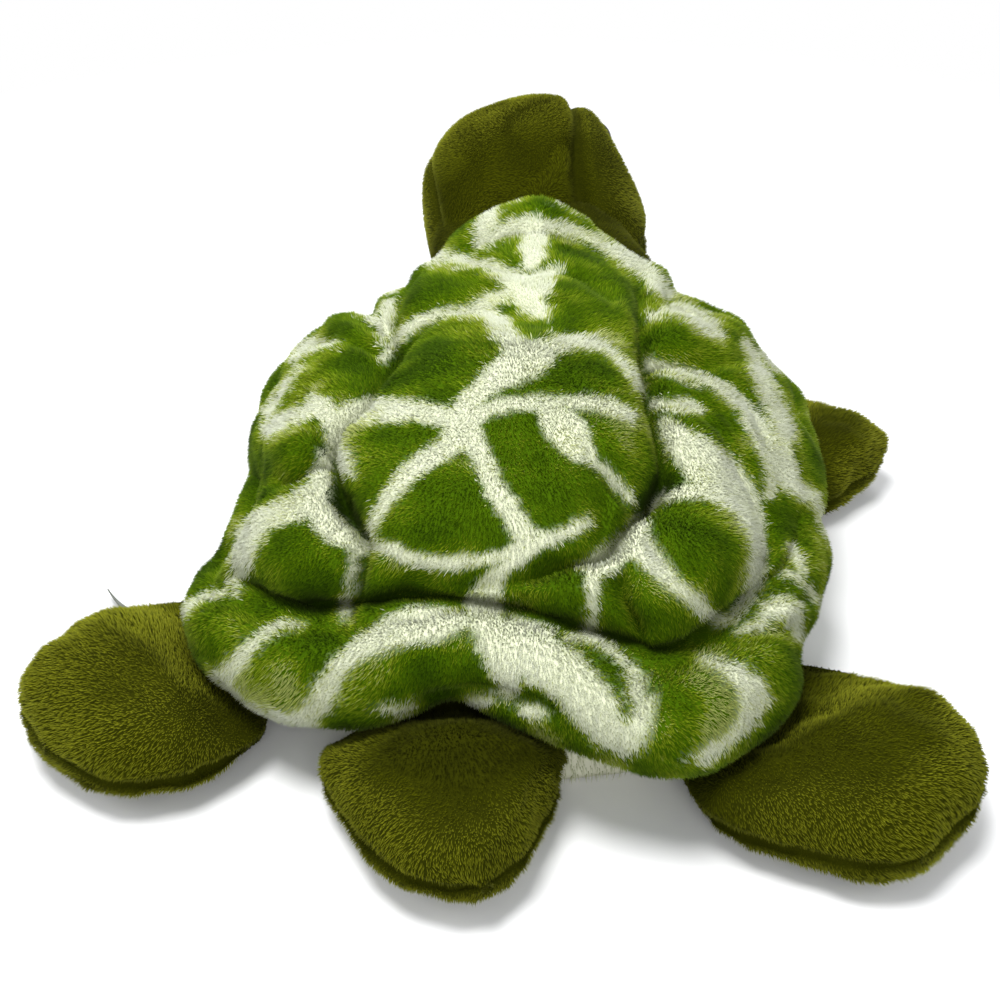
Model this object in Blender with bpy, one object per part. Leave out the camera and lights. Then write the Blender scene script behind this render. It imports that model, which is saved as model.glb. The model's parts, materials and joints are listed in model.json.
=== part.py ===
"""A stuffed plush sea turtle, lying on its belly.

The turtle faces -Y and its own left is +X. The origin is the middle of the flat
patch of belly that it rests on, and every length is in metres.

The toy is built as it is sewn: panels of short-pile plush, each a thin cover of its
own, are closed over separate lumps of stuffing. A stuffed rim runs round the shell,
lifted over the neck and the tail. The flippers and the tail are sewn in at a narrow
root and fold there. The eyes are plastic buttons held by washers inside the head.
"""
import math

import bmesh
import bpy
from mathutils import Matrix, Vector

# Driving sizes of the whole toy
SHELL_LENGTH = 0.352        # front of the rim's path to its back
SHELL_WIDTH = 0.306         # across the rim's path
SHELL_HEIGHT = 0.136        # floor to the foundation of the dome, under the puffs
RIM_RADIUS = 0.022          # of the stuffed rim, at its mean
HEAD_WIDTH = 0.150
HEAD_LENGTH = 0.156         # of the skull, without the muzzle
HEAD_HEIGHT = 0.142
MUZZLE_LENGTH = 0.052       # half sizes of the muzzle's swelling
MUZZLE_WIDTH = 0.050
MUZZLE_HEIGHT = 0.046
HEAD_REACH = 0.107          # neck pivot to the middle of the head, forwards
HEAD_LIFT = 0.037           # and upwards
HEAD_ASIDE = 0.014          # and to the turtle's left
HEAD_ROLL = 18.0            # degrees that the head lolls to its left
NECK_RADIUS = 0.044
NECK_HEIGHT = 0.058         # of its pivot, over the floor
NECK_ASIDE = 0.020
NECK_FORWARD = 0.026        # front wall of the body to the neck's pivot
FLIPPER_LENGTH = 0.139      # fold to tip
FLIPPER_WIDTH = 0.130
FLIPPER_RISE = 0.030        # over the plane of its seam, at its fullest
FRONT_FLIPPER_LENGTH = 0.103
FRONT_FLIPPER_WIDTH = 0.102
TAIL_LENGTH = 0.130
TAIL_WIDTH = 0.118
TAIL_RISE = 0.028
LIMB_LEAN = 6.0             # degrees that a flipper or the tail slopes up from its fold
ROOT_RADIUS = 0.0065        # of the sewn root of a flipper or the tail
ROOT_HEIGHT = 0.013         # of a fold's axis, over the floor
ROOT_OUT = 0.002            # and outside the belly's wall
BELLY_INSET = 0.024         # the belly's wall stands this far inside the rim's path
EYE_RADIUS = 0.0085
EYE_DOME = 0.0052           # height of the button over the plush
EYE_STEM_RADIUS = 0.0022
EYE_STEM_LENGTH = 0.0125
EYE_FLANGE = 0.0016         # the button's edge, let into the plush
WASHER_RADIUS = 0.0095
WASHER_THICKNESS = 0.0018
WASHER_DEPTH = 0.0075       # below the plush surface
LABEL_WIDTH = 0.026
LABEL_LENGTH = 0.100
LABEL_THICKNESS = 0.0010
LABEL_HEIGHT = 0.030        # of the label's seam, over the floor
LABEL_END_HEIGHT = 0.0045   # of its free end

# Make and fit
COVER = 0.0024              # thickness of the plush fabric's backing and pile root
CLEAR = 0.0003              # gap between meshes that touch on the real toy
NECK_CLEAR = 0.0008         # round the neck's ball, whose facets turn in its sockets
SEWN_GAP = 0.0004           # gap between two panels along a seam
FLAT_DEPTH = 0.0005         # how deep a flipper or the tail is flattened by the floor
OVERRUN = 0.03              # how far a cutter runs past what it cuts

# Counts
RIM_STATIONS = 30
ROUTE_STEPS = 24
TUBE_SIDES = 10
HEAD_SEGMENTS = 18
HEAD_ROWS = 11
LIMB_SIDES = 12
LIMB_STATIONS = 8
EYE_STEPS = 12
BALL_SEGMENTS = 24
BALL_ROWS = 12
ROOT_SIDES = 14
LABEL_STEPS = 5

# Route of the rim: x over half the width, y over half the length, height over the
# dome's foundation, radius over the mean radius, and how much wider than tall it is. It
# starts over the neck and goes round the turtle's left side, the back and the right side.
RIM_SHARES = (
    (0.06, -1.00, 0.95, 0.92, 1.00),
    (0.42, -0.93, 0.76, 0.82, 1.00),
    (0.70, -0.76, 0.56, 0.80, 1.00),
    (0.92, -0.48, 0.45, 0.80, 1.00),
    (0.94, -0.12, 0.40, 0.84, 1.05),
    (0.975, 0.24, 0.38, 0.95, 1.10),
    (0.87, 0.62, 0.375, 1.04, 1.15),
    (0.46, 0.83, 0.39, 1.10, 1.20),
    (0.08, 0.82, 0.51, 1.02, 1.10),
    (-0.30, 0.87, 0.45, 1.12, 1.20),
    (-0.60, 0.88, 0.39, 1.12, 1.30),
    (-0.83, 0.53, 0.39, 1.06, 1.20),
    (-0.92, 0.08, 0.40, 0.98, 1.10),
    (-0.93, -0.34, 0.44, 0.90, 1.00),
    (-0.74, -0.74, 0.55, 0.84, 1.00),
    (-0.34, -0.93, 0.76, 0.84, 1.00),
)

# Rows of the dome's foundation, from the rim's path to the crown: how far out, and
# how far up between the rim and the crown
DOME_ROW_SHARES = (
    (1.00, 0.00), (1.00, 0.20), (0.965, 0.42), (0.90, 0.60), (0.80, 0.75),
    (0.66, 0.865), (0.49, 0.94), (0.32, 0.98), (0.16, 0.995),
)

# Puffs that swell out of the foundation: the middle over half the width, half the
# length and the height, then the half sizes over the same three lengths
PUFF_SHARES = {
    "front ridge": (0.12, -0.68, 0.70, 0.42, 0.22, 0.275),
    "middle ridge": (0.08, 0.02, 0.66, 0.50, 0.42, 0.400),
    "back ridge": (0.10, 0.50, 0.42, 0.40, 0.28, 0.300),
    "left shoulder": (0.60, -0.48, 0.50, 0.34, 0.26, 0.260),
    "left flank": (0.72, -0.04, 0.44, 0.33, 0.26, 0.280),
    "left haunch": (0.62, 0.42, 0.38, 0.34, 0.34, 0.300),
    "right shoulder": (-0.58, -0.52, 0.52, 0.34, 0.26, 0.270),
    "right flank": (-0.74, -0.10, 0.46, 0.34, 0.28, 0.280),
    "right haunch": (-0.62, 0.30, 0.40, 0.36, 0.32, 0.320),
    "back right": (-0.28, 0.66, 0.38, 0.26, 0.22, 0.260),
}
PUFF_SHARPNESS = 18         # a high power keeps the creases between the puffs
MITRE_SHARE = 1.5           # a cover's corners are no thicker than this, over its own

# Rows of the belly, from the rim's path down to the floor: how far inside the path
# over the belly's inset, and how high over the rim's own height
BELLY_ROW_SHARES = (
    (0.00, 1.00), (0.60, 0.72), (1.00, 0.40), (1.12, 0.14), (1.45, 0.00),
)
BELLY_FLAT_SHARE = 0.55     # size of the inner ring of the flat patch
NECK_BAND_SHARE = 0.88      # how far the neck's tube reaches along its own radius

# Edges of the dome's middle panel along the shell: y over half the length, then its
# left and right edges over half the width
MIDDLE_PANEL_SHARES = (
    (-0.90, 0.40, -0.26), (-0.62, 0.48, -0.34), (-0.30, 0.50, -0.37),
    (0.05, 0.58, -0.42), (0.30, 0.50, -0.34), (0.58, 0.50, -0.28), (0.85, 0.52, -0.12),
)

# Outline and swelling of a limb from root to tip: how far along, half width over half
# the full width, and height over the full height, which the sewn root never falls under
FLIPPER_SHARES = (
    (0.00, 0.48, 0.00), (0.10, 0.54, 0.06), (0.25, 0.72, 0.10), (0.42, 0.92, 0.48),
    (0.58, 1.00, 1.00), (0.74, 0.96, 0.92), (0.88, 0.76, 0.68), (0.96, 0.48, 0.42),
    (1.00, 0.18, 0.16),
)
TAIL_SHARES = (
    (0.00, 0.42, 0.00), (0.12, 0.60, 0.08), (0.28, 0.94, 0.36), (0.42, 1.00, 0.80),
    (0.56, 0.92, 1.00), (0.70, 0.76, 0.90), (0.84, 0.52, 0.70), (0.94, 0.30, 0.46),
    (1.00, 0.12, 0.18),
)
ROOT_SHARE = 0.30           # of a limb's length, where it is at least as thick as its root
ROOT_END_SHARE = 0.50       # of the root's radius, where its end starts to close
FULLEST_SHARE = 0.58        # of a limb's length, where it rests on the floor

# Where a limb is sewn in, as the compass angle of the belly's wall seen from the shell's
# middle, and how much the limb bends sideways on its way to its tip, both in degrees
# from +X towards +Y
FRONT_LEFT = (-44.0, -70.0)
FRONT_RIGHT = (-140.0, -72.0)
REAR_LEFT = (43.0, 28.0)
REAR_RIGHT = (132.0, -42.0)
TAIL_ROOT = (83.0, 32.0)
LABEL = (12.0, 50.0)
WALL_SPAN = 12.0            # angle on both sides over which the wall's slope is taken

# Seams of the head
CROWN_WIDTH = 0.094         # the middle strip over the skull
CHIN_DROP = 0.034           # middle of the head down to the jaw seam
MUZZLE_FORWARD = 0.056      # middle of the head to the middle of the muzzle
MUZZLE_DROP = 0.010
MUZZLE_SHARPNESS = 10       # a low power melts the muzzle into the skull
EYE_ASIDE_ANGLE = 60.0      # from straight ahead, degrees
EYE_RISE_ANGLE = 20.0

EYE_DOME_ANGLES = (70.0, 45.0, 20.0, 0.0)     # of its sections, in degrees

# Colours as the photograph shows them, linear red, green and blue
OLIVE = (0.115, 0.130, 0.018)
SHELL_GREEN = (0.110, 0.220, 0.030)
CREAM = (0.760, 0.760, 0.640)
BLACK = (0.012, 0.010, 0.009)
WASHER_WHITE = (0.780, 0.780, 0.760)
FILLING_WHITE = (0.850, 0.850, 0.830)
LABEL_GREY = (0.620, 0.640, 0.620)

SHELL_MIDDLE_SHARE = -0.10  # where the shell's middle is, over half the length
DOME_MIDDLE_SHARE = 0.36    # and the dome's middle, over its height

HALF_WIDTH = SHELL_WIDTH / 2
HALF_LENGTH = SHELL_LENGTH / 2
HALF_SEAM = SEWN_GAP / 2
FILLED = COVER + CLEAR
SHELL_MIDDLE = Vector((0.0, SHELL_MIDDLE_SHARE * HALF_LENGTH, 0.0))
DOME_MIDDLE = SHELL_MIDDLE + Vector((0.0, 0.0, DOME_MIDDLE_SHARE * SHELL_HEIGHT))


# The scene and its collections

def clear_scene():
    for thing in list(bpy.data.objects):
        bpy.data.objects.remove(thing)


def new_collection(name):
    group = bpy.data.collections.new(name)
    bpy.context.scene.collection.children.link(group)
    return group


clear_scene()
TURTLE = new_collection("plush_turtle")
CUTTERS = new_collection("cutters")


def material(name, colour, roughness):
    """A plain surface with the part's colour."""
    made = bpy.data.materials.new(name)
    made.use_nodes = True
    shader = made.node_tree.nodes["Principled BSDF"]
    shader.inputs["Base Color"].default_value = (*colour, 1.0)
    shader.inputs["Roughness"].default_value = roughness
    shader.inputs["Metallic"].default_value = 0.0
    made.diffuse_color = (*colour, 1.0)
    return made


OLIVE_PLUSH = material("olive_plush", OLIVE, 0.95)
SHELL_PLUSH = material("printed_shell_plush", SHELL_GREEN, 0.95)
CREAM_PLUSH = material("cream_plush", CREAM, 0.95)
EYE_PLASTIC = material("black_plastic", BLACK, 0.15)
WASHER_PLASTIC = material("white_plastic", WASHER_WHITE, 0.45)
FILLING = material("polyester_filling", FILLING_WHITE, 1.0)
RIBBON = material("satin_ribbon", LABEL_GREY, 0.5)


# Helpers that turn rings of points into solids, place them and cut them

def as_object(name, shape, surface=None):
    """Turn a bmesh into a named object; a shape with no surface is a cutter."""
    bmesh.ops.recalc_face_normals(shape, faces=shape.faces)
    mesh = bpy.data.meshes.new(name)
    shape.to_mesh(mesh)
    shape.free()
    made = bpy.data.objects.new(name, mesh)
    if surface is None:
        CUTTERS.objects.link(made)
        made.hide_render = True
        made.display_type = "WIRE"
    else:
        TURTLE.objects.link(made)
        mesh.materials.append(surface)
        mesh.shade_smooth()
    return made


def boolean(thing, cutter, operation="DIFFERENCE"):
    cut = thing.modifiers.new(cutter.name, "BOOLEAN")
    cut.object = cutter
    cut.operation = operation
    cut.solver = "EXACT"


def pivot(name, place):
    """An empty on a joint's axis, which carries the pieces that move there."""
    made = bpy.data.objects.new(name, None)
    TURTLE.objects.link(made)
    made.matrix_world = place
    return made


def hang(thing, carrier, place):
    """Parent a piece to its joint's empty, at a place that is given in the world."""
    thing.parent = carrier
    thing.matrix_basis = carrier.matrix_basis.inverted() @ place


def read(table, share):
    """The values of a table of shares at one place along it."""
    for low, high in zip(table, table[1:]):
        if share <= high[0]:
            part = max(0.0, share - low[0]) / (high[0] - low[0])
            return [a + (b - a) * part for a, b in zip(low[1:], high[1:])]
    return table[-1][1:]


def band(shape, low, high, closed=True):
    """Skin two rows of vertices with triangles that all slope the same way."""
    count = len(low)
    for side in range(count if closed else count - 1):
        after = (side + 1) % count
        shape.faces.new((low[side], low[after], high[after]))
        shape.faces.new((low[side], high[after], high[side]))


def fan(shape, ring, tip):
    """Close a ring of vertices to one point."""
    middle = shape.verts.new(tip)
    for side, vert in enumerate(ring):
        shape.faces.new((vert, ring[(side + 1) % len(ring)], middle))


def loft(rings, first_tip=None, last_tip=None, closed=False):
    """Skin a row of rings, closed at its ends by flat caps or by a point."""
    shape = bmesh.new()
    rows = [[shape.verts.new(point) for point in ring] for ring in rings]
    for low, high in zip(rows, rows[1:]):
        band(shape, low, high)
    if closed:
        band(shape, rows[-1], rows[0])
        return shape
    for ring, tip in ((rows[0], first_tip), (rows[-1], last_tip)):
        if tip is None:
            shape.faces.new(ring)
        else:
            fan(shape, ring, tip)
    return shape


def shrink(shape, inset):
    """Move a closed form's faces inwards, so that they all keep the same distance."""
    bmesh.ops.recalc_face_normals(shape, faces=shape.faces)
    shape.normal_update()
    moves = [vert.normal * inset * min(vert.calc_shell_factor(), MITRE_SHARE)
             for vert in shape.verts]
    for vert, move in zip(shape.verts, moves):
        vert.co -= move
    return shape


def cover_shape(outer, outer_tip, inner, inner_tip):
    """A cover with two faces, closed at its tip and turned over along its open edge."""
    shape = bmesh.new()
    edges = []
    for rings, tip in ((outer, outer_tip), (inner, inner_tip)):
        rows = [[shape.verts.new(point) for point in ring] for ring in rings]
        for low, high in zip(rows, rows[1:]):
            band(shape, low, high)
        fan(shape, rows[-1], tip)
        edges.append(rows[0])
    band(shape, edges[0], edges[1])
    return shape


def box(name, low, high):
    """A box cutter from one corner to the other."""
    shape = bmesh.new()
    bmesh.ops.create_cube(shape, size=1.0)
    low = Vector(low)
    high = Vector(high)
    bmesh.ops.scale(shape, vec=high - low, verts=shape.verts)
    bmesh.ops.translate(shape, vec=(low + high) / 2, verts=shape.verts)
    return as_object(name, shape)


# The rim's route

def compass(point):
    flat = point - SHELL_MIDDLE
    return math.atan2(flat.y, flat.x)


def outwards(point):
    away = point - SHELL_MIDDLE
    away.z = 0.0
    return away.normalized()


def smooth_point(before, low, high, after, part):
    """A point of the smooth curve through a route's points, between low and high."""
    return [0.5 * (2 * b + (c - a) * part + (2 * a - 5 * b + 4 * c - d) * part ** 2
                   + (3 * b - a - 3 * c + d) * part ** 3)
            for a, b, c, d in zip(before, low, high, after)]


def at_angle(points, angle):
    """Where a ring of points, each with its half sizes, crosses a compass angle."""
    for (low, low_sizes), (high, high_sizes) in zip(points, points[1:] + points[:1]):
        a = (compass(low) - angle + math.pi) % math.tau - math.pi
        b = (compass(high) - angle + math.pi) % math.tau - math.pi
        if a <= 0.0 < b and b - a < math.pi:
            part = -a / (b - a)
            return low.lerp(high, part), low_sizes.lerp(high_sizes, part)
    raise ValueError("the rim's route doesn't go round the shell's middle")


def rim_route():
    """The rim's path and its half width and height, at even compass angles."""
    fine = []
    count = len(RIM_SHARES)
    for start in range(count):
        four = [RIM_SHARES[(start + step - 1) % count] for step in range(4)]
        for step in range(ROUTE_STEPS):
            x, y, z, radius, wider = smooth_point(*four, step / ROUTE_STEPS)
            point = Vector((x * HALF_WIDTH, y * HALF_LENGTH, z * SHELL_HEIGHT))
            fine.append((point, Vector((radius * wider, radius)) * RIM_RADIUS))
    angles = [math.tau * station / RIM_STATIONS - math.pi for station in range(RIM_STATIONS)]
    return [at_angle(fine, angle) for angle in angles]


ROUTE = rim_route()


# The stuffed rim round the shell

def rim_rings(inset):
    """Sections of the rim at all stations; their first point faces the body."""
    rings = []
    for index, (point, sizes) in enumerate(ROUTE):
        along = ROUTE[(index + 1) % RIM_STATIONS][0] - ROUTE[index - 1][0]
        out = along.cross(Vector((0.0, 0.0, 1.0))).normalized()
        up = out.cross(along).normalized()
        wide = out * (sizes.x - inset)
        tall = up * (sizes.y - inset)
        turns = [math.tau * side / TUBE_SIDES - math.pi for side in range(TUBE_SIDES)]
        rings.append([point + wide * math.cos(turn) + tall * math.sin(turn) for turn in turns])
    return rings


def rim_tube(name, inset, surface=None):
    return as_object(name, loft(rim_rings(inset), closed=True), surface)


def rim_sleeve(name, surface):
    """The rim's cover: C-shaped in section, open to the body where its seam is."""
    shape = bmesh.new()
    skins = []
    for inset in (0.0, COVER):
        rows = [[shape.verts.new(point) for point in ring[1:]] for ring in rim_rings(inset)]
        for low, high in zip(rows, rows[1:] + rows[:1]):
            band(shape, low, high, closed=False)
        skins.append(rows)
    for end in (0, -1):
        band(shape, [row[end] for row in skins[0]], [row[end] for row in skins[1]])
    return as_object(name, shape, surface)


rim_sleeve("rim_cover", SHELL_PLUSH)
rim_tube("rim_stuffing", FILLED, FILLING)
rim_space = rim_tube("rim_space", -CLEAR)


# The dome: a foundation over the rim's path, with puffs swelling out of it

def reach_of(way, middle, sizes):
    """How far an ellipsoid reaches the way that is given, or zero if it is missed."""
    ray = Vector([step / size for step, size in zip(way, sizes)])
    off = Vector([step / size for step, size in zip(middle, sizes)])
    inside = ray.dot(off) ** 2 - ray.dot(ray) * (off.dot(off) - 1.0)
    if inside <= 0.0 or ray.dot(off) < 0.0:
        return 0.0
    return (ray.dot(off) + math.sqrt(inside)) / ray.dot(ray)


def puffed(base):
    """Push a point of the foundation out to the puffs that cover it."""
    way = (base - DOME_MIDDLE).normalized()
    reach = (base - DOME_MIDDLE).length
    swelling = 1.0
    for x, y, z, half_x, half_y, half_z in PUFF_SHARES.values():
        middle = Vector((x * HALF_WIDTH, y * HALF_LENGTH, z * SHELL_HEIGHT)) - DOME_MIDDLE
        halves = (half_x * HALF_WIDTH, half_y * HALF_LENGTH, half_z * SHELL_HEIGHT)
        swelling += (reach_of(way, middle, halves) / reach) ** PUFF_SHARPNESS
    return DOME_MIDDLE + way * reach * swelling ** (1.0 / PUFF_SHARPNESS)


def dome_rings():
    """Rings of the dome from the rim's path up to the crown."""
    rings = []
    for out, rise in DOME_ROW_SHARES:
        ring = []
        for foot, sizes in ROUTE:
            base = SHELL_MIDDLE + (foot - SHELL_MIDDLE) * out
            base.z = foot.z + (SHELL_HEIGHT - foot.z) * rise
            ring.append(puffed(base) if rise else base)
        rings.append(ring)
    return rings


def belly_rings():
    """Rings of the belly from its flat patch up to the rim's path."""
    rings = []
    for inwards, high in BELLY_ROW_SHARES:
        ring = []
        for foot, sizes in ROUTE:
            point = foot - outwards(foot) * BELLY_INSET * inwards
            point.z = foot.z * high
            ring.append(point)
        rings.append(ring)
    rings.append([SHELL_MIDDLE.lerp(point, BELLY_FLAT_SHARE) for point in rings[-1]])
    return rings[::-1]


CROWN = puffed(SHELL_MIDDLE + Vector((0.0, 0.0, SHELL_HEIGHT)))


def body_form(inset):
    """The belly and the dome as one closed form, shrunk to an inset."""
    return shrink(loft(belly_rings() + dome_rings()[1:], SHELL_MIDDLE, CROWN), inset)


def body_cover(name, surface, dome):
    """The dome's or the belly's half of the body's cover, open along the rim's path."""
    belly_rows = len(BELLY_ROW_SHARES) + 1
    skins = []
    for inset in (0.0, COVER):
        form = body_form(inset)
        points = [vert.co.copy() for vert in form.verts]
        form.free()
        rows = [points[start:start + RIM_STATIONS]
                for start in range(0, len(points) - 2, RIM_STATIONS)]
        if dome:
            skins += [rows[belly_rows - 1:], points[-1]]
        else:
            skins += [[row[::-1] for row in rows[belly_rows - 1::-1]], points[-2]]
    return as_object(name, cover_shape(*skins), surface)


def middle_prism(name, gap):
    """A tall block over the middle panel, grown by a gap, past both ends of the shell."""
    past = Vector((0.0, HALF_LENGTH, 0.0))
    edges = []
    for column, sign in ((1, 1.0), (2, -1.0)):
        edge = [Vector((row[column] * HALF_WIDTH + sign * gap, row[0] * HALF_LENGTH, -OVERRUN))
                for row in MIDDLE_PANEL_SHARES]
        edges.append([edge[0] - past] + edge + [edge[-1] + past])
    outline = edges[0] + edges[1][::-1]
    tall = Vector((0.0, 0.0, 2 * SHELL_HEIGHT))
    return as_object(name, loft([outline, [point + tall for point in outline]]))


def side_block(name, sign):
    """A block over one side of the shell."""
    low = Vector((0.0, -SHELL_LENGTH, -OVERRUN))
    high = Vector((SHELL_WIDTH, SHELL_LENGTH, 2 * SHELL_HEIGHT))
    if sign < 0.0:
        low.x, high.x = -high.x, low.x
    return box(name, low, high)


def shell_panels():
    middle = body_cover("shell_middle_panel", SHELL_PLUSH, True)
    boolean(middle, middle_prism("middle_panel_outline", -HALF_SEAM), "INTERSECT")
    taken = middle_prism("middle_panel_space", HALF_SEAM)
    panels = [middle]
    for side, sign in (("left", 1.0), ("right", -1.0)):
        panel = body_cover("shell_" + side + "_panel", SHELL_PLUSH, True)
        boolean(panel, taken)
        boolean(panel, side_block(side + "_side", sign), "INTERSECT")
        panels.append(panel)
    for panel in panels:
        boolean(panel, rim_space)


shell_panels()


# The belly panel, with its flat resting patch, and the stuffing of the body

belly = body_cover("belly_panel", CREAM_PLUSH, False)
boolean(belly, rim_space)
body_stuffing = as_object("body_stuffing", body_form(FILLED), FILLING)
boolean(body_stuffing, rim_space)


def wall_point(angle, height):
    """The belly's wall at a compass angle in degrees, at one height over the floor."""
    foot, sizes = at_angle(ROUTE, math.radians(angle))
    rows = [(foot.z * high, BELLY_INSET * inwards) for inwards, high in BELLY_ROW_SHARES]
    inwards = read(rows[::-1], height)[0]
    point = foot - outwards(foot) * inwards
    point.z = height
    return point


def wall_place(angle, height, out):
    """A place just outside the belly's wall, with +X square out of it."""
    along = wall_point(angle + WALL_SPAN, height) - wall_point(angle - WALL_SPAN, height)
    turn = Matrix.Rotation(math.atan2(-along.x, along.y), 4, "Z")
    return Matrix.Translation(wall_point(angle, height)) @ turn @ Matrix.Translation((out, 0.0, 0.0))


# The neck: a stuffed ball, half in the body and half in the head

NECK = wall_point(-90.0, NECK_HEIGHT) + Vector((NECK_ASIDE, -NECK_FORWARD, 0.0))
neck_pivot = pivot("neck_pivot", Matrix.Translation(NECK))


def ball(name, radius, surface=None):
    """A ball round the neck's pivot, with its poles fore and aft."""
    shape = bmesh.new()
    bmesh.ops.create_uvsphere(shape, u_segments=BALL_SEGMENTS, v_segments=BALL_ROWS, radius=radius)
    bmesh.ops.rotate(shape, verts=shape.verts, matrix=Matrix.Rotation(math.pi / 2, 3, "X"))
    made = as_object(name, shape, surface)
    hang(made, neck_pivot, neck_pivot.matrix_basis)
    return made


neck_space = ball("neck_space", NECK_RADIUS + NECK_CLEAR)
boolean(belly, neck_space)
boolean(body_stuffing, neck_space)

neck_cover = ball("neck_cover", NECK_RADIUS, OLIVE_PLUSH)
boolean(neck_cover, ball("neck_inside", NECK_RADIUS - COVER))
band_half = Vector((2 * NECK_RADIUS, NECK_BAND_SHARE * NECK_RADIUS, 2 * NECK_RADIUS))
boolean(neck_cover, box("neck_band", NECK - band_half, NECK + band_half), "INTERSECT")
ball("neck_stuffing", NECK_RADIUS - FILLED, FILLING)


# The head: a skull and a muzzle in one swelling form, cut into sewn panels. Its shapes
# are made round the head's own middle and then lolled to its left.

HEAD = Matrix.Translation(NECK + Vector((HEAD_ASIDE, -HEAD_REACH, HEAD_LIFT)))
HEAD = HEAD @ Matrix.Rotation(math.radians(HEAD_ROLL), 4, "Y")
MUZZLE = Vector((0.0, -MUZZLE_FORWARD, -MUZZLE_DROP))
head_pivot = pivot("head_pivot", Matrix.Translation(NECK))


def head_point(way):
    """The head's surface, the way that is given from its middle."""
    skull = reach_of(way, Vector(), (HEAD_WIDTH / 2, HEAD_LENGTH / 2, HEAD_HEIGHT / 2))
    muzzle = reach_of(way, MUZZLE, (MUZZLE_WIDTH, MUZZLE_LENGTH, MUZZLE_HEIGHT))
    swelling = 1.0 + (muzzle / skull) ** MUZZLE_SHARPNESS
    return way * skull * swelling ** (1.0 / MUZZLE_SHARPNESS)


def head_form(name, inset, surface=None):
    shape = bmesh.new()
    bmesh.ops.create_uvsphere(shape, u_segments=HEAD_SEGMENTS, v_segments=HEAD_ROWS, radius=1.0)
    bmesh.ops.rotate(shape, verts=shape.verts, matrix=Matrix.Rotation(math.pi / 2, 3, "X"))
    for vert in shape.verts:
        vert.co = head_point(vert.co.normalized())
    bmesh.ops.triangulate(shape, faces=shape.faces)
    shrink(shape, inset)
    made = as_object(name, shape, surface)
    hang(made, head_pivot, HEAD)
    return made


head_inside = head_form("head_inside", COVER)


def head_panel(name, low, high):
    """A piece of the head's cover, inside a box from low to high."""
    panel = head_form(name, 0.0, OLIVE_PLUSH)
    boolean(panel, head_inside)
    outline = box(name + "_outline", low, high)
    hang(outline, head_pivot, HEAD)
    boolean(panel, outline, "INTERSECT")
    boolean(panel, neck_space)
    return panel


SEAM = CROWN_WIDTH / 2
FAR = Vector((HEAD_WIDTH, HEAD_LENGTH, HEAD_HEIGHT))
JAW = -CHIN_DROP
head_panel("head_crown_panel", (HALF_SEAM - SEAM, -FAR.y, JAW + HALF_SEAM),
           (SEAM - HALF_SEAM, FAR.y, FAR.z))
cheeks = {
    "left": head_panel("head_left_panel", (SEAM + HALF_SEAM, -FAR.y, JAW + HALF_SEAM), FAR),
    "right": head_panel("head_right_panel", (-FAR.x, -FAR.y, JAW + HALF_SEAM),
                        (-SEAM - HALF_SEAM, FAR.y, FAR.z)),
}
head_panel("head_chin_panel", -FAR, (FAR.x, FAR.y, JAW - HALF_SEAM))
head_stuffing = head_form("head_stuffing", FILLED, FILLING)
boolean(head_stuffing, neck_space)


# The eyes: black buttons with a stem, and the washers that lock them inside

def turned(name, profile, surface=None):
    """A turned solid; its profile of radius and height starts and ends on the axis."""
    rings = []
    for radius, height in profile[1:-1]:
        angles = [math.tau * step / EYE_STEPS for step in range(EYE_STEPS)]
        rings.append([Vector((radius * math.cos(angle), radius * math.sin(angle), height))
                      for angle in angles])
    ends = [(0.0, 0.0, profile[0][1]), (0.0, 0.0, profile[-1][1])]
    return as_object(name, loft(rings, *ends), surface)


def eye_dome(gap):
    angles = [math.radians(angle) for angle in EYE_DOME_ANGLES]
    dome = [(EYE_RADIUS * math.cos(angle) + gap, EYE_DOME * math.sin(angle)) for angle in angles]
    edge = -EYE_FLANGE - gap
    return [(0.0, EYE_DOME), *dome, (EYE_RADIUS + gap, edge), (EYE_STEM_RADIUS + gap, edge)]


def washer_edge(gap):
    top = gap - WASHER_DEPTH
    low = -WASHER_DEPTH - WASHER_THICKNESS - gap
    return [(WASHER_RADIUS + gap, top), (WASHER_RADIUS + gap, low)]


def eye_profile():
    """The button's dome, its edge and its stem."""
    return [*eye_dome(0.0), (EYE_STEM_RADIUS, -EYE_STEM_LENGTH), (0.0, -EYE_STEM_LENGTH)]


def washer_profile():
    edge = washer_edge(0.0)
    return [(0.0, edge[0][1]), *edge, (0.0, edge[1][1])]


def seat_profile():
    """The room that an eye and its washer take up together."""
    stem = EYE_STEM_RADIUS + CLEAR
    edge = washer_edge(CLEAR)
    foot = -EYE_STEM_LENGTH - CLEAR
    return [*eye_dome(CLEAR), (stem, edge[0][1]), *edge, (stem, edge[1][1]), (stem, foot),
            (0.0, foot)]


def stem_hole_profile():
    radius = EYE_STEM_RADIUS + CLEAR
    low = -EYE_STEM_LENGTH - OVERRUN
    return [(0.0, 0.0), (radius, 0.0), (radius, low), (0.0, low)]


def eye_place(sign):
    """Where an eye sits on the head, with +Z out of the plush."""
    aside = math.radians(EYE_ASIDE_ANGLE)
    rise = math.radians(EYE_RISE_ANGLE)
    way = Vector((sign * math.sin(aside) * math.cos(rise),
                  -math.cos(aside) * math.cos(rise), math.sin(rise)))
    middle = head_point(way)
    step = EYE_RADIUS / middle.length
    across = way.cross(Vector((0.0, 0.0, 1.0))).normalized()
    over = across.cross(way)
    beside = head_point((way + across * step).normalized()) - middle
    above = head_point((way + over * step).normalized()) - middle
    normal = beside.cross(above).normalized()
    if normal.dot(way) < 0.0:
        normal = -normal
    return HEAD @ Matrix.Translation(middle) @ normal.to_track_quat("Z", "Y").to_matrix().to_4x4()


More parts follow.
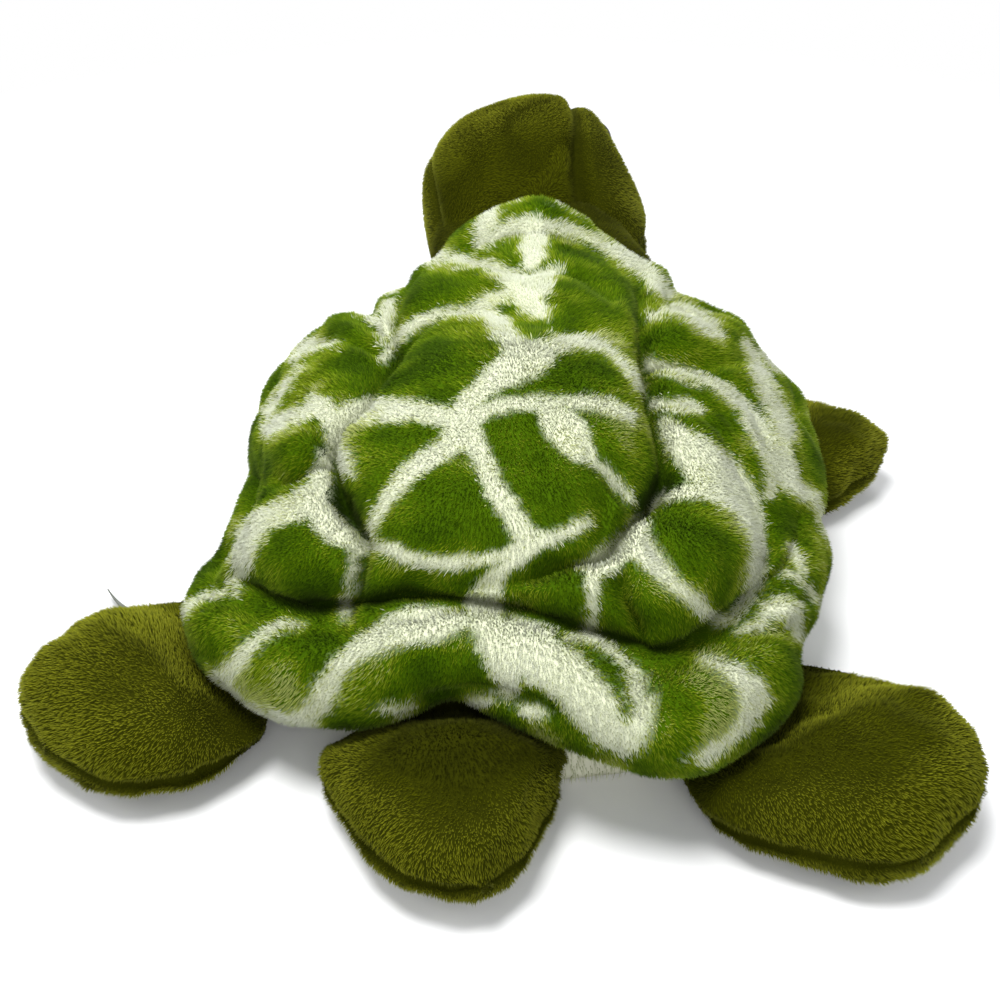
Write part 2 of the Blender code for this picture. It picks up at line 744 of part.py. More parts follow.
def fit_eye(side, sign):
    place = eye_place(sign)
    eye = turned("eye_" + side, eye_profile(), EYE_PLASTIC)
    washer = turned("eye_washer_" + side, washer_profile(), WASHER_PLASTIC)
    seat = turned("eye_seat_" + side, seat_profile())
    stem_hole = turned("stem_hole_" + side, stem_hole_profile())
    for thing in (eye, washer, seat, stem_hole):
        hang(thing, head_pivot, place)
    boolean(washer, stem_hole)
    boolean(cheeks[side], seat)
    boolean(head_stuffing, seat)


fit_eye("left", 1.0)
fit_eye("right", -1.0)


# The flippers and the tail: an upper and a lower panel each, closed over their stuffing

def bent(point, bend, length):
    """Bend a limb sideways on its way from its fold to its tip."""
    if bend == 0.0 or point.x <= 0.0:
        return point
    radius = length / bend
    turn = point.x / radius
    return Vector(((radius - point.y) * math.sin(turn),
                   radius - (radius - point.y) * math.cos(turn), point.z))


def limb_ring(x, half_width, rise, fall):
    """One section of a limb: a flat oval with its own height and depth."""
    ring = []
    for side in range(LIMB_SIDES):
        angle = math.tau * side / LIMB_SIDES
        tall = rise if math.sin(angle) > 0.0 else fall
        ring.append(Vector((x, half_width * math.cos(angle), tall * math.sin(angle))))
    return ring


def limb_form(name, sizes, bend, inset, surface=None):
    """A limb along +X with its fold's axis at zero and its rounded root behind it."""
    table, length, width, rise = sizes
    slope = FULLEST_SHARE * length * math.sin(math.radians(LIMB_LEAN))
    fall = ROOT_HEIGHT + slope + FLAT_DEPTH
    rings = []
    stations = [-ROOT_RADIUS * ROOT_END_SHARE]
    for station in range(1, LIMB_STATIONS):
        turn = math.pi * (station + 0.5) / LIMB_STATIONS
        stations.append((length + ROOT_RADIUS) * (1.0 - math.cos(turn)) / 2 - ROOT_RADIUS)
    for x in stations:
        wide, tall = read(table, x / length)
        least = ROOT_RADIUS if x < ROOT_SHARE * length else 0.0
        heights = [max(tall * full, least) for full in (rise, fall)]
        half_width = wide * width / 2
        if x < 0.0:
            rounding = math.sqrt(1.0 - (x / ROOT_RADIUS) ** 2)
            half_width -= ROOT_RADIUS * (1.0 - rounding)
            heights = [height * rounding for height in heights]
        rings.append([bent(point, bend, length) for point in limb_ring(x, half_width, *heights)])
    tips = [bent(Vector((x, 0.0, 0.0)), bend, length) for x in (-ROOT_RADIUS, length)]
    return as_object(name, shrink(loft(rings, *tips), inset), surface)


def limb(name, sizes, angles):
    """A flipper or the tail, hung from an empty on its fold's axis."""
    table, length, width, rise = sizes
    bend = math.radians(angles[1])
    place = wall_place(angles[0], ROOT_HEIGHT, ROOT_OUT)
    sloping = place @ Matrix.Rotation(math.radians(-LIMB_LEAN), 4, "Y")
    fold = pivot(name + "_fold", place)
    inside = limb_form(name + "_inside", sizes, bend, COVER)
    filling = limb_form(name + "_stuffing", sizes, bend, FILLED, FILLING)
    upper = limb_form(name + "_upper_panel", sizes, bend, 0.0, OLIVE_PLUSH)
    lower = limb_form(name + "_lower_panel", sizes, bend, 0.0, OLIVE_PLUSH)
    reach = length + width
    above = box(name + "_above_seam", (-reach, -reach, HALF_SEAM), (reach, reach, reach))
    below = box(name + "_below_seam", (-reach, -reach, -reach), (reach, reach, -HALF_SEAM))
    floor = box(name + "_floor", (-reach, -reach, -reach), (reach, reach, -ROOT_HEIGHT))
    for panel, outline in ((upper, above), (lower, below)):
        boolean(panel, inside)
        boolean(panel, outline, "INTERSECT")
    boolean(lower, floor)
    root = bmesh.new()
    bmesh.ops.create_cone(root, cap_ends=True, segments=ROOT_SIDES,
                          radius1=ROOT_RADIUS + CLEAR, radius2=ROOT_RADIUS + CLEAR,
                          depth=read(table, ROOT_RADIUS / length)[0] * width + 2 * CLEAR)
    bmesh.ops.rotate(root, verts=root.verts, matrix=Matrix.Rotation(math.pi / 2, 3, "X"))
    root_space = as_object(name + "_root_space", root)
    for thing in (inside, filling, upper, lower, above, below):
        hang(thing, fold, sloping)
    for thing in (floor, root_space):
        hang(thing, fold, place)
    boolean(belly, root_space)
    boolean(body_stuffing, root_space)
    return place


FRONT_FLIPPER = (FLIPPER_SHARES, FRONT_FLIPPER_LENGTH, FRONT_FLIPPER_WIDTH, FLIPPER_RISE)
REAR_FLIPPER = (FLIPPER_SHARES, FLIPPER_LENGTH, FLIPPER_WIDTH, FLIPPER_RISE)
TAIL = (TAIL_SHARES, TAIL_LENGTH, TAIL_WIDTH, TAIL_RISE)
LIMBS = {
    "front_left_flipper": limb("front_left_flipper", FRONT_FLIPPER, FRONT_LEFT),
    "front_right_flipper": limb("front_right_flipper", FRONT_FLIPPER, FRONT_RIGHT),
    "rear_left_flipper": limb("rear_left_flipper", REAR_FLIPPER, REAR_LEFT),
    "rear_right_flipper": limb("rear_right_flipper", REAR_FLIPPER, REAR_RIGHT),
    "tail": limb("tail", TAIL, TAIL_ROOT),
}


# The blank ribbon label in the seam of the left side

def label(name):
    bend = math.radians(LABEL[1])
    place = wall_place(LABEL[0], LABEL_HEIGHT, CLEAR + LABEL_THICKNESS / 2)
    fall = LABEL_HEIGHT - LABEL_END_HEIGHT
    rings = []
    for step in range(LABEL_STEPS + 1):
        share = step / LABEL_STEPS
        x = LABEL_LENGTH * share
        z = fall * (1.0 - share) ** 2 - fall
        ring = []
        for across, over in ((1.0, 1.0), (-1.0, 1.0), (-1.0, -1.0), (1.0, -1.0)):
            point = Vector((x, across * LABEL_WIDTH / 2, z + over * LABEL_THICKNESS / 2))
            ring.append(place @ bent(point, bend, LABEL_LENGTH))
        rings.append(ring)
    return as_object(name, loft(rings), RIBBON)


label("side_label")

print("neck pivot", [round(value, 5) for value in NECK])
for limb_name, limb_place in LIMBS.items():
    fold_axis = limb_place.to_3x3() @ Vector((0.0, 1.0, 0.0))
    print(limb_name, "fold at", [round(value, 5) for value in limb_place.translation],
          "axis", [round(value, 5) for value in fold_axis])
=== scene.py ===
# %% [markdown]
# # A plush sea turtle, from sewing pattern to fur
# The real toy is a bag of short-pile plush over loose polyester filling. It lies on its
# belly, seen from behind: a big puffed shell printed with green plates and cream veins,
# a stuffed rim round it, an olive head, four flippers and a tail. This lesson builds each
# sewn piece over its solid in the CAD frame, sculpts the puffs and creases, and grows
# the pile as thousands of small tufts, because fur is what the eye sees first.

# %% Load the frame
import json
import math
import bpy
import numpy as np
from mathutils import Matrix, Vector
from mathutils.bvhtree import BVHTree


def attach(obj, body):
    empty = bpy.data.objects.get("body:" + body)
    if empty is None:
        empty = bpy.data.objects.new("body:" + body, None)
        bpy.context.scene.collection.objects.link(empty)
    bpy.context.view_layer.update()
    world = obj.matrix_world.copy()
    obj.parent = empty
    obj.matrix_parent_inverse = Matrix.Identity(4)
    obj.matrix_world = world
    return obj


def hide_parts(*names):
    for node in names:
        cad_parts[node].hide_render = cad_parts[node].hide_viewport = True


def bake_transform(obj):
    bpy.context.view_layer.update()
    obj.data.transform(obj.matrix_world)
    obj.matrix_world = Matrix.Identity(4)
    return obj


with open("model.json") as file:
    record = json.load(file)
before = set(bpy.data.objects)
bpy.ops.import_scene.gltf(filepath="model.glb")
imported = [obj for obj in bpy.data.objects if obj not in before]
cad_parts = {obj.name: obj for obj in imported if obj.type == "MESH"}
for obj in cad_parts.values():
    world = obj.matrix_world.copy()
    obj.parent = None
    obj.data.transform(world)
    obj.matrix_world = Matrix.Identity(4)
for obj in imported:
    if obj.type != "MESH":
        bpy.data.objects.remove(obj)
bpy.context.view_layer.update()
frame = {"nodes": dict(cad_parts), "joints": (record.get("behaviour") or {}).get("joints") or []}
joints = {joint["name"]: joint for joint in frame["joints"]}

# %% [markdown]
# ## The camera comes first
# The photograph looks down on the toy from behind its right side. Everything printed on
# the shell is placed through this camera, so it is made before any piece. A long lens
# from under a metre away gives the photograph's mild perspective.

# %% Camera
photo_width = 1000   # pixels, and so is its height
photo_focal = 1624   # pixels
sensor_width = 36    # millimetres
camera_distance = 0.882
azimuth, elevation = math.radians(188.0), math.radians(36.0)
looked_at = np.array((0.0144, 0.0, 0.054))
back = np.array((math.sin(azimuth) * math.cos(elevation),
                 -math.cos(azimuth) * math.cos(elevation), math.sin(elevation)))
eye_point = looked_at + back * camera_distance
to_right = np.cross(-back, (0, 0, 1))
to_right /= np.linalg.norm(to_right)
to_up = np.cross(to_right, -back)

bpy.ops.object.camera_add(location=eye_point)
camera = bpy.context.object
camera.rotation_euler = Vector(-back).to_track_quat("-Z", "Y").to_euler()
camera.data.sensor_width = sensor_width
camera.data.lens = sensor_width * photo_focal / photo_width
bpy.context.scene.camera = camera


def in_photo(points):
    """Where points of the model fall in the photograph: across and down, in its pixels."""
    seen = points - eye_point
    depth = -(seen @ back)
    return np.stack([photo_width / 2 + photo_focal * (seen @ to_right) / depth,
                     photo_width / 2 - photo_focal * (seen @ to_up) / depth], 1)


print("camera at", np.round(eye_point, 3), "lens", round(camera.data.lens, 1), "mm")

# %% [markdown]
# ## Small helpers
# Each piece starts as a primitive whose points are then moved together. Reading all the
# points as one array keeps that quick.

# %% Pieces and their points
bpy.context.preferences.edit.use_global_undo = False


def deselect():
    for thing in bpy.context.selected_objects:
        thing.select_set(False)


def primitive(add, name, **how):
    """A named primitive at the origin, alone in the selection."""
    deselect()
    add(**how)
    made = bpy.context.object
    made.name = name
    made.data.name = name
    return made


def points_of(piece):
    points = np.zeros(len(piece.data.vertices) * 3)
    piece.data.vertices.foreach_get("co", points)
    return points.reshape(-1, 3)


def move_points(piece, points):
    piece.data.vertices.foreach_set("co", np.asarray(points, np.float32).ravel())
    piece.data.update()


def normals_of(piece):
    normals = np.zeros(len(piece.data.vertices) * 3)
    piece.data.vertices.foreach_get("normal", normals)
    return normals.reshape(-1, 3)


def unit(vectors):
    return vectors / np.maximum(np.linalg.norm(vectors, axis=-1, keepdims=True), 1e-12)

def place_by(matrix, points):
    """Points turned and moved by a matrix."""
    return points @ np.array(matrix)[:3, :3].T + np.array(matrix)[:3, 3]


print("the whole pile")

# %% [markdown]
# ## Soft forms
# A soft wave, made from a few sines, stands in for the random lumps of hand-stuffed
# cloth, and gives the same lumps each run. Seams, brush strokes and lumps all fade with
# distance by one bell curve.

# %% Waves, steps and curves
def wave(points, size, seed):
    """A soft random field between about -1 and 1, with lumps of that size."""
    dice = np.random.default_rng(seed)
    total = np.zeros(len(points))
    for _ in range(9):
        way = unit(dice.normal(size=3)) * dice.uniform(0.6, 1.5) * math.tau / size
        total += np.sin(points @ way + dice.uniform(0, math.tau))
    return total / 3.6


def smooth_step(low, high, value):
    share = np.clip((value - low) / (high - low), 0.0, 1.0)
    return share * share * (3 - 2 * share)

def bell(distance, width):
    """1 at no distance, and fading softly away over a few widths."""
    return np.exp(-(distance / width) ** 2)


def even_curve(rows, samples=400, window=26):
    """A table's columns read at even steps of its first one, with its corners rounded."""
    rows = np.array(rows, float)
    steps = np.linspace(rows[0, 0], rows[-1, 0], samples)
    made = [steps]
    for column in rows[:, 1:].T:
        values = np.interp(steps, rows[:, 0], column)
        for _ in range(2):
            padded = np.pad(values, window // 2, mode="reflect", reflect_type="odd")
            values = np.convolve(padded, np.ones(window) / window, "same")[window // 2:][:samples]
        made.append(values)
    return made

print("a wave at three spots:", np.round(wave(np.eye(3), 0.1, 1), 2))

# %% [markdown]
# ## Edit mode from a script
# Operators act on what is selected, so each helper selects its piece alone first. Faces
# are chosen in code, by where their middles lie, and cut away to make a panel of cloth.

# %% Edit-mode helpers
def select_alone(piece):
    deselect()
    bpy.context.view_layer.objects.active = piece
    piece.select_set(True)


def in_edit_mode(piece, *steps):
    """Run edit-mode operators on the whole of a piece."""
    select_alone(piece)
    bpy.ops.object.mode_set(mode="EDIT")
    bpy.ops.mesh.select_all(action="SELECT")
    for step in steps:
        step()
    bpy.ops.object.mode_set(mode="OBJECT")


def merge_doubles():
    bpy.ops.mesh.remove_doubles(threshold=1e-5)


def outwards():
    bpy.ops.mesh.normals_make_consistent(inside=False)


def finish_shape(piece, smooth=0):
    """Soften a shape with a modifier, applied, and shade it smooth."""
    select_alone(piece)
    if smooth:
        softener = piece.modifiers.new("soften", "SMOOTH")
        softener.iterations = smooth
        bpy.ops.object.modifier_apply(modifier=softener.name)
    bpy.ops.object.shade_smooth()


def split_off(piece, name, inside):
    """Cut the faces whose middles pass a test away into a piece of their own."""
    mesh = piece.data
    middles = np.zeros(len(mesh.polygons) * 3)
    mesh.polygons.foreach_get("center", middles)
    select_alone(piece)
    bpy.ops.object.mode_set(mode="EDIT")
    bpy.ops.mesh.select_mode(type="FACE")
    bpy.ops.mesh.select_all(action="DESELECT")
    bpy.ops.object.mode_set(mode="OBJECT")
    mesh.polygons.foreach_set("select", inside(middles.reshape(-1, 3)))
    bpy.ops.object.mode_set(mode="EDIT")
    bpy.ops.mesh.separate(type="SELECTED")
    bpy.ops.object.mode_set(mode="OBJECT")
    cut = [thing for thing in bpy.context.selected_objects if thing is not piece][0]
    cut.name = cut.data.name = name
    return cut


print("undo is off:", not bpy.context.preferences.edit.use_global_undo)

# %% [markdown]
# ## The size of everything
# These are the CAD source's own shares and lengths, in metres. The turtle faces -Y and
# its left is +X. The rim's route is a smooth closed curve through sixteen points, and
# it is read by compass angle seen from the shell's middle.

# %% Sizes
half_width, half_length = 0.306 / 2, 0.352 / 2
shell_height = 0.136
rim_radius = 0.022
shell_middle = np.array((0.0, -0.10 * half_length, 0.0))
dome_middle = shell_middle + np.array((0.0, 0.0, 0.36 * shell_height))
rim_shares = np.array((
    (0.06, -1.00, 0.95, 0.92, 1.00), (0.42, -0.93, 0.76, 0.82, 1.00),
    (0.70, -0.76, 0.56, 0.80, 1.00), (0.92, -0.48, 0.45, 0.80, 1.00),
    (0.94, -0.12, 0.40, 0.84, 1.05), (0.975, 0.24, 0.38, 0.95, 1.10),
    (0.87, 0.62, 0.375, 1.04, 1.15), (0.46, 0.83, 0.39, 1.10, 1.20),
    (0.08, 0.82, 0.51, 1.02, 1.10), (-0.30, 0.87, 0.45, 1.12, 1.20),
    (-0.60, 0.88, 0.39, 1.12, 1.30), (-0.83, 0.53, 0.39, 1.06, 1.20),
    (-0.92, 0.08, 0.40, 0.98, 1.10), (-0.93, -0.34, 0.44, 0.90, 1.00),
    (-0.74, -0.74, 0.55, 0.84, 1.00), (-0.34, -0.93, 0.76, 0.84, 1.00)))
print("shell", 2 * half_width, "by", 2 * half_length, "by", shell_height, "m")

# %% The rim's smooth route
def compass(points):
    """The angle at which points are seen from the shell's middle."""
    return np.arctan2(points[:, 1] - shell_middle[1], points[:, 0])


def rim_curve():
    """Compass angles, points and half sizes along the rim's smooth route."""
    part = np.linspace(0, 1, 24, endpoint=False)[:, None]
    rows = []
    for start in range(len(rim_shares)):
        a, b, c, d = (rim_shares[(start + step - 1) % len(rim_shares)] for step in range(4))
        rows.append(0.5 * (2 * b + (c - a) * part + (2 * a - 5 * b + 4 * c - d) * part ** 2
                           + (3 * b - a - 3 * c + d) * part ** 3))
    rows = np.concatenate(rows)
    places = rows[:, :3] * (half_width, half_length, shell_height)
    angles = np.unwrap(compass(places))
    sizes = np.stack([rows[:, 3] * rows[:, 4], rows[:, 3]], 1) * rim_radius
    return angles, places, sizes


curve_angles, curve_places, curve_sizes = rim_curve()


def rim_at(angles):
    """The rim's middle, its half width and half height at compass angles."""
    turns = (angles - curve_angles[0]) % math.tau + curve_angles[0]
    wrapped = np.append(curve_angles, curve_angles[0] + math.tau)
    columns = np.concatenate([curve_places, curve_sizes], 1)
    columns = np.concatenate([columns, columns[:1]])
    read = np.stack([np.interp(turns, wrapped, column) for column in columns.T], 1)
    return read[:, :3], read[:, 3:]


route_length = float(np.linalg.norm(np.diff(curve_places, axis=0), axis=1).sum())
print("the rim's route is", round(route_length, 3), "m long")

# %% [markdown]
# ## The dome's puffs
# Stuffing pushes the shell up between its seams and pleats. The dome is a foundation
# over the rim's route, out of which ten ellipsoids swell. Taking a high power mean of
# their reaches keeps the valleys between them sharp, as creases in cloth are.

# %% The dome's foundation and its puffs, as shares of the shell's sizes
dome_rows = ((0.00, 1.00, 0.00), (0.14, 1.00, 0.20), (0.28, 0.965, 0.42), (0.41, 0.90, 0.60),
             (0.53, 0.80, 0.75), (0.65, 0.66, 0.865), (0.77, 0.49, 0.94), (0.87, 0.32, 0.98),
             (1.00, 0.0, 1.0))
puffs = np.array((
    (0.12, -0.68, 0.70, 0.42, 0.22, 0.275), (0.08, 0.02, 0.66, 0.50, 0.42, 0.400),
    (0.10, 0.50, 0.42, 0.40, 0.28, 0.300), (0.60, -0.48, 0.50, 0.34, 0.26, 0.260),
    (0.72, -0.04, 0.44, 0.33, 0.26, 0.280), (0.62, 0.42, 0.38, 0.34, 0.34, 0.300),
    (-0.58, -0.52, 0.52, 0.34, 0.26, 0.270), (-0.74, -0.10, 0.46, 0.34, 0.28, 0.280),
    (-0.62, 0.30, 0.40, 0.36, 0.32, 0.320), (-0.28, 0.66, 0.38, 0.26, 0.22, 0.260)))
sharpness = 18   # the power that keeps the valleys sharp
print(len(puffs), "puffs")

# %% Surface of the dome
def ellipsoid_reach(ways, middle, sizes):
    """How far an ellipsoid reaches along each way from the origin, or zero if missed."""
    ray = ways / sizes
    off = middle / sizes
    along = ray @ off
    length = (ray ** 2).sum(1)
    inside = along ** 2 - length * (off @ off - 1.0)
    reach = (along + np.sqrt(np.maximum(inside, 0.0))) / length
    return np.where((inside > 0) & (along > 0), reach, 0.0)


def swollen(base):
    """Push points of the foundation out to the puffs that cover them."""
    way = base - dome_middle
    length = np.linalg.norm(way, axis=1)
    way /= length[:, None]
    total = np.ones(len(base))
    scale = np.array((half_width, half_length, shell_height))
    for puff in puffs:
        reach = ellipsoid_reach(way, puff[:3] * scale - dome_middle, puff[3:] * scale)
        total += (reach / length) ** sharpness
    return dome_middle + way * (length * total ** (1 / sharpness))[:, None]


def dome_surface(angles, rows):
    """Points of the dome: rows run from 0 at the rim's route to 1 at the crown."""
    foot, _ = rim_at(angles)
    step, out, rise = even_curve(dome_rows, window=20)
    out = np.interp(rows, step, out)[:, None]
    rise = np.interp(rows, step, rise)
    base = shell_middle + (foot - shell_middle) * np.maximum(out, 0.0)
    base[:, 2] = foot[:, 2] + (shell_height - foot[:, 2]) * rise
    return np.where(rows[:, None] > 0.02, swollen(base), base)

crown_height = dome_surface(np.zeros(1), np.ones(1))[0, 2]
print("the crown is", round(float(crown_height), 3), "m high before pressing")

# %% [markdown]
# ## Creases and lumps
# A sculptor would now press and pull the cloth with a brush while looking at the
# picture. The brush here is a path in the photograph's pixels with a depth in
# millimetres: what the camera sees under the path sinks, or rises where the depth is
# negative.

# %% Creases pressed into the dome
creases = {   # the brush's half width in pixels, then (across, down, depth in mm)
    "front hem": (7, (436, 256, 8), (460, 254, 9), (484, 259, 9), (505, 266, 9), (524, 271, 8),
                  (548, 268, 7), (580, 277, 6), (612, 296, 5)),
    "nape fold": (5, (585, 222, 3), (610, 234, 4), (634, 250, 4)),
    "second ridge": (6, (440, 322, 3), (470, 304, 4), (500, 300, 4), (530, 318, 3)),
    "left of the ridge": (9, (400, 290, 6), (395, 310, 9), (393, 330, 11), (396, 345, 11)),
    "front of the crown": (8, (396, 345, 11), (420, 322, 9), (450, 310, 8), (485, 306, 7),
                           (520, 322, 4), (560, 334, 3), (600, 330, 3), (636, 334, 4)),
    "left of the crown": (9, (396, 345, 12), (380, 364, 12), (360, 396, 12), (343, 413, 12),
                          (331, 430, 13), (326, 446, 14), (329, 464, 15), (335, 486, 18)),
    "left pit": (11, (336, 486, 20), (341, 498, 20), (354, 522, 16), (361, 540, 12)),
    "left haunch seam": (8, (359, 550, 12), (354, 578, 13), (347, 602, 13), (341, 620, 12)),
    "left fold": (6, (331, 447, 13), (322, 452, 14), (304, 461, 14), (288, 471, 12), (270, 481, 9),
                  (246, 490, 4)),
    "left low fold": (7, (330, 470, 8), (300, 484, 4), (262, 496, 2)),
    "shoulder fold": (7, (396, 342, 9), (382, 327, 8), (362, 317, 7)),
    "second shoulder fold": (7, (390, 352, 8), (360, 345, 5), (330, 342, 5), (298, 344, 4)),
    "flank edge": (7, (300, 350, 3), (318, 356, 3), (296, 380, 4), (276, 402, 3)),
    "right seam": (9, (640, 284, 8), (641, 312, 9), (645, 345, 13), (650, 375, 12),
                   (652, 400, 12), (661, 432, 11), (668, 462, 14)),
    "right pit": (12, (668, 466, 18), (660, 484, 20), (643, 501, 16)),
    "under the crown": (10, (643, 501, 14), (627, 518, 14), (612, 536, 16), (596, 549, 14),
                        (565, 560, 11), (535, 571, 9), (508, 582, 5)),
    "crown's right edge": (8, (592, 458, 4), (606, 470, 8), (622, 486, 9), (636, 500, 10)),
    "crown's low corner": (12, (604, 490, 6), (602, 515, 8), (594, 540, 8)),
    "back fold": (8, (618, 578, 9), (626, 602, 12), (638, 630, 12), (650, 652, 10)),
    "back valley": (15, (368, 578, 4), (410, 584, 6), (456, 588, 7), (505, 586, 5)),
    "knee": (7, (562, 600, 4), (560, 620, 6), (566, 640, 5)),
    "pleat one": (7, (645, 352, 14), (668, 355, 12), (700, 358, 8), (735, 361, 4)),
    "pleat two": (6, (688, 367, 5), (715, 368, 6), (736, 380, 5), (758, 410, 5), (768, 440, 3)),
    "pleat three": (7, (690, 405, 4), (722, 432, 9), (745, 462, 10), (762, 492, 10)),
    "pleat four": (6, (654, 396, 7), (690, 398, 4), (720, 412, 4), (748, 442, 4)),
    "haunch's edge": (8, (762, 492, 9), (775, 518, 11), (780, 545, 11), (772, 578, 10),
                      (746, 616, 11)),
    "haunch's foot": (8, (742, 616, 12), (727, 632, 13), (713, 648, 11), (700, 657, 8)),
    "edge lumps": (7, (798, 552, 9), (812, 545, 8), (826, 534, 5)),
    "ring's inside": (9, (650, 508, 6), (652, 540, 6), (666, 566, 4)),
    "behind the rim": (12, (192, 582, 6), (232, 582, 12), (262, 602, 15), (290, 611, 15),
                       (345, 605, 15), (400, 595, 14), (440, 598, 13), (475, 606, 13),
                       (520, 611, 13), (560, 622, 13), (590, 632, 14), (620, 642, 14),
                       (655, 652, 14), (698, 646, 14), (722, 630, 14), (745, 606, 12),
                       (772, 588, 11), (802, 560, 8), (824, 540, 6)),
}
print(len(creases), "creases in the dome")

# %% Creases of the rim, and lumps
rim_creases = {
    "left lumps": (8, (176, 600, 4), (206, 592, 9), (240, 592, 12), (262, 614, 6)),
    "front lump": (7, (214, 548, 8), (224, 562, 9), (232, 578, 8)),
    "rear knot": (8, (430, 700, 5), (492, 696, 9), (505, 700, 9), (530, 702, 7), (555, 712, 4)),
    "rear turn": (9, (634, 668, 5), (640, 690, 5), (644, 712, 4)),
    "right lumps": (8, (742, 624, 9), (765, 627, 8), (798, 626, 7), (806, 640, 4)),
    "right top": (8, (765, 598, 5), (790, 584, 8), (812, 594, 7), (828, 612, 4)),
    "left hollow": (16, (330, 668, 4), (338, 690, 5), (330, 712, 3)),
    "left dip": (10, (300, 625, 4), (330, 622, 5), (360, 620, 3)),
}
swellings = (   # (across, down, height in mm, half width in pixels)
    (290, 565, 5, 40), (705, 560, 8, 42), (500, 400, 5, 84), (450, 505, 5, 50),
    (440, 288, 7, 32), (500, 288, 4, 26), (560, 300, 5, 42), (540, 215, 4, 30),
    (345, 340, 4, 22), (300, 385, 5, 24), (680, 325, 5, 24), (320, 362, 3, 24),
    (312, 440, 5, 15), (290, 450, 4, 16), (700, 440, 6, 34), (640, 600, 4, 20), (805, 505, 5, 20),
    (560, 600, 4, 30), (430, 650, 3, 34), (215, 628, 4, 26), (700, 700, 4, 44),
    (345, 425, 3, 16), (560, 480, 3, 34), (280, 660, 4, 34), (600, 430, 5, 36),
    (342, 329, 4, 18), (385, 303, 3, 14), (590, 700, 4, 34), (545, 655, 3, 26),
    (765, 655, 4, 26), (785, 612, 4, 16), (200, 570, 4, 16))
print(len(rim_creases), "creases in the rim,", len(swellings), "lumps")

# %% Pulling the shell's outline to the photograph's
shell_pulls = (   # (across, down, shift across, shift down, half width), all in pixels
    (428, 253, 6, 12, 22), (402, 273, 8, 18, 12), (385, 284, 2, 9, 16), (364, 302, 9, 17, 12),
    (335, 315, 0, 4, 24), (300, 342, -6, 2, 26), (278, 385, -9, 0, 28), (255, 420, 0, 2, 28),
    (235, 455, 14, 6, 30),
    (222, 485, 26, 10, 30), (200, 520, 30, 18, 30), (182, 548, 16, 28, 30), (181, 575, 9, 10, 24),
    (181, 600, 5, 2, 24), (690, 285, -16, 18, 24), (712, 297, -6, 10, 24), (750, 322, -3, 3, 26),
    (778, 347, -14, 8, 28), (806, 388, -3, 4, 34), (824, 430, -5, 2, 34), (833, 465, -15, 0, 36),
    (838, 510, -18, 0, 34), (840, 560, -2, 0, 26), (834, 600, -8, 0, 28), (816, 650, -20, 0, 30),
    (640, 778, 0, -8, 60), (560, 745, 0, -3, 40), (720, 760, -4, -6, 40),
    (218, 672, -4, 2, 20), (248, 700, -8, 8, 24), (282, 715, -2, 8, 22),
    (530, 197, 0, 2, 34), (506, 203, -8, 0, 26), (474, 220, -8, 2, 28), (570, 202, -3, 6, 30),
    (605, 218, -4, 14, 34), (640, 240, -3, 14, 30))

def dab(spots, across, down, width):
    """How strongly a round dab of the brush touches places in the photograph."""
    return bell(np.hypot(spots[:, 0] - across, spots[:, 1] - down), width)


def grabbed(points, pulls, upright=True):
    """Drag points by shifts in the photograph: across it, and up and down or along the floor."""
    spots = in_photo(points)
    total = np.zeros(len(points))
    shift = np.zeros((len(points), 2))
    for across, down, right, lower, width in pulls:
        weight = dab(spots, across, down, width)
        total += weight
        shift += weight[:, None] * (right, lower)
    depth = -((points - eye_point) @ back)
    shift *= (depth / photo_focal / np.maximum(total, 1.0))[:, None]
    if upright:
        lift = np.array((0.0, 0.0, 1 / math.cos(elevation)))
    else:
        lift = unit(to_up * (1, 1, 0)) / math.sin(elevation)
    return points + shift[:, :1] * to_right - shift[:, 1:] * lift


print(len(shell_pulls), "pulls round the shell")

# %% The brush
def beside(path, spots):
    """For places in the photograph, how far from a path they are, and its value there."""
    nearest = np.full(len(spots), 1e9)
    value = np.zeros(len(spots))
    for low, high in zip(path, path[1:]):
        low, high = np.array(low, float), np.array(high, float)
        step = high[:2] - low[:2]
        part = np.clip((spots - low[:2]) @ step / (step @ step), 0, 1)
        away = np.linalg.norm(spots - low[:2] - part[:, None] * step, axis=1)
        closer = away < nearest
        nearest = np.where(closer, away, nearest)
        value = np.where(closer, low[2] + (high[2] - low[2]) * part, value)
    return nearest, value


def note(piece, name, values):
    """Keep a value at each point of a piece."""
    kept = piece.data.attributes.get(name) or piece.data.attributes.new(name, "FLOAT", "POINT")
    kept.data.foreach_set("value", np.asarray(values, np.float32))

crease_gain = 1.25   # deeper than the table, because smoothing later flattens a crease
stroke, shoulder = 0.65, 0.35   # shares of a narrow and of a wide bell
shoulder_width = 2.6


def brushed(piece, paths, lumps, seen):
    """Press paths into a piece and raise lumps on it, where the camera sees it."""
    points, normals = points_of(piece), normals_of(piece)
    spots = in_photo(points)
    depth = np.zeros(len(points))
    for width, *path in paths.values():
        away, value = beside(path, spots)
        profile = stroke * bell(away, width) + shoulder * bell(away, width * shoulder_width)
        depth = np.maximum(depth, crease_gain * value * profile)
    rise = np.zeros(len(points))
    for across, down, height, width in lumps:
        rise += height * dab(spots, across, down, width)
    move_points(piece, points + normals * ((rise - depth) * seen / 1000)[:, None])
    # Deep creases are kept as a share: shorter tufts there, and a painted shadow in them.
    note(piece, "crease", smooth_step(7.0, 17.0, depth) * seen)


print("a brush with a stroke of", stroke, "and a shoulder of", shoulder)

# %% What the camera sees
def edge_ends(piece):
    """Both end points of each edge of a piece."""
    ends = np.zeros(len(piece.data.edges) * 2, int)
    piece.data.edges.foreach_get("vertices", ends)
    return ends.reshape(-1, 2)


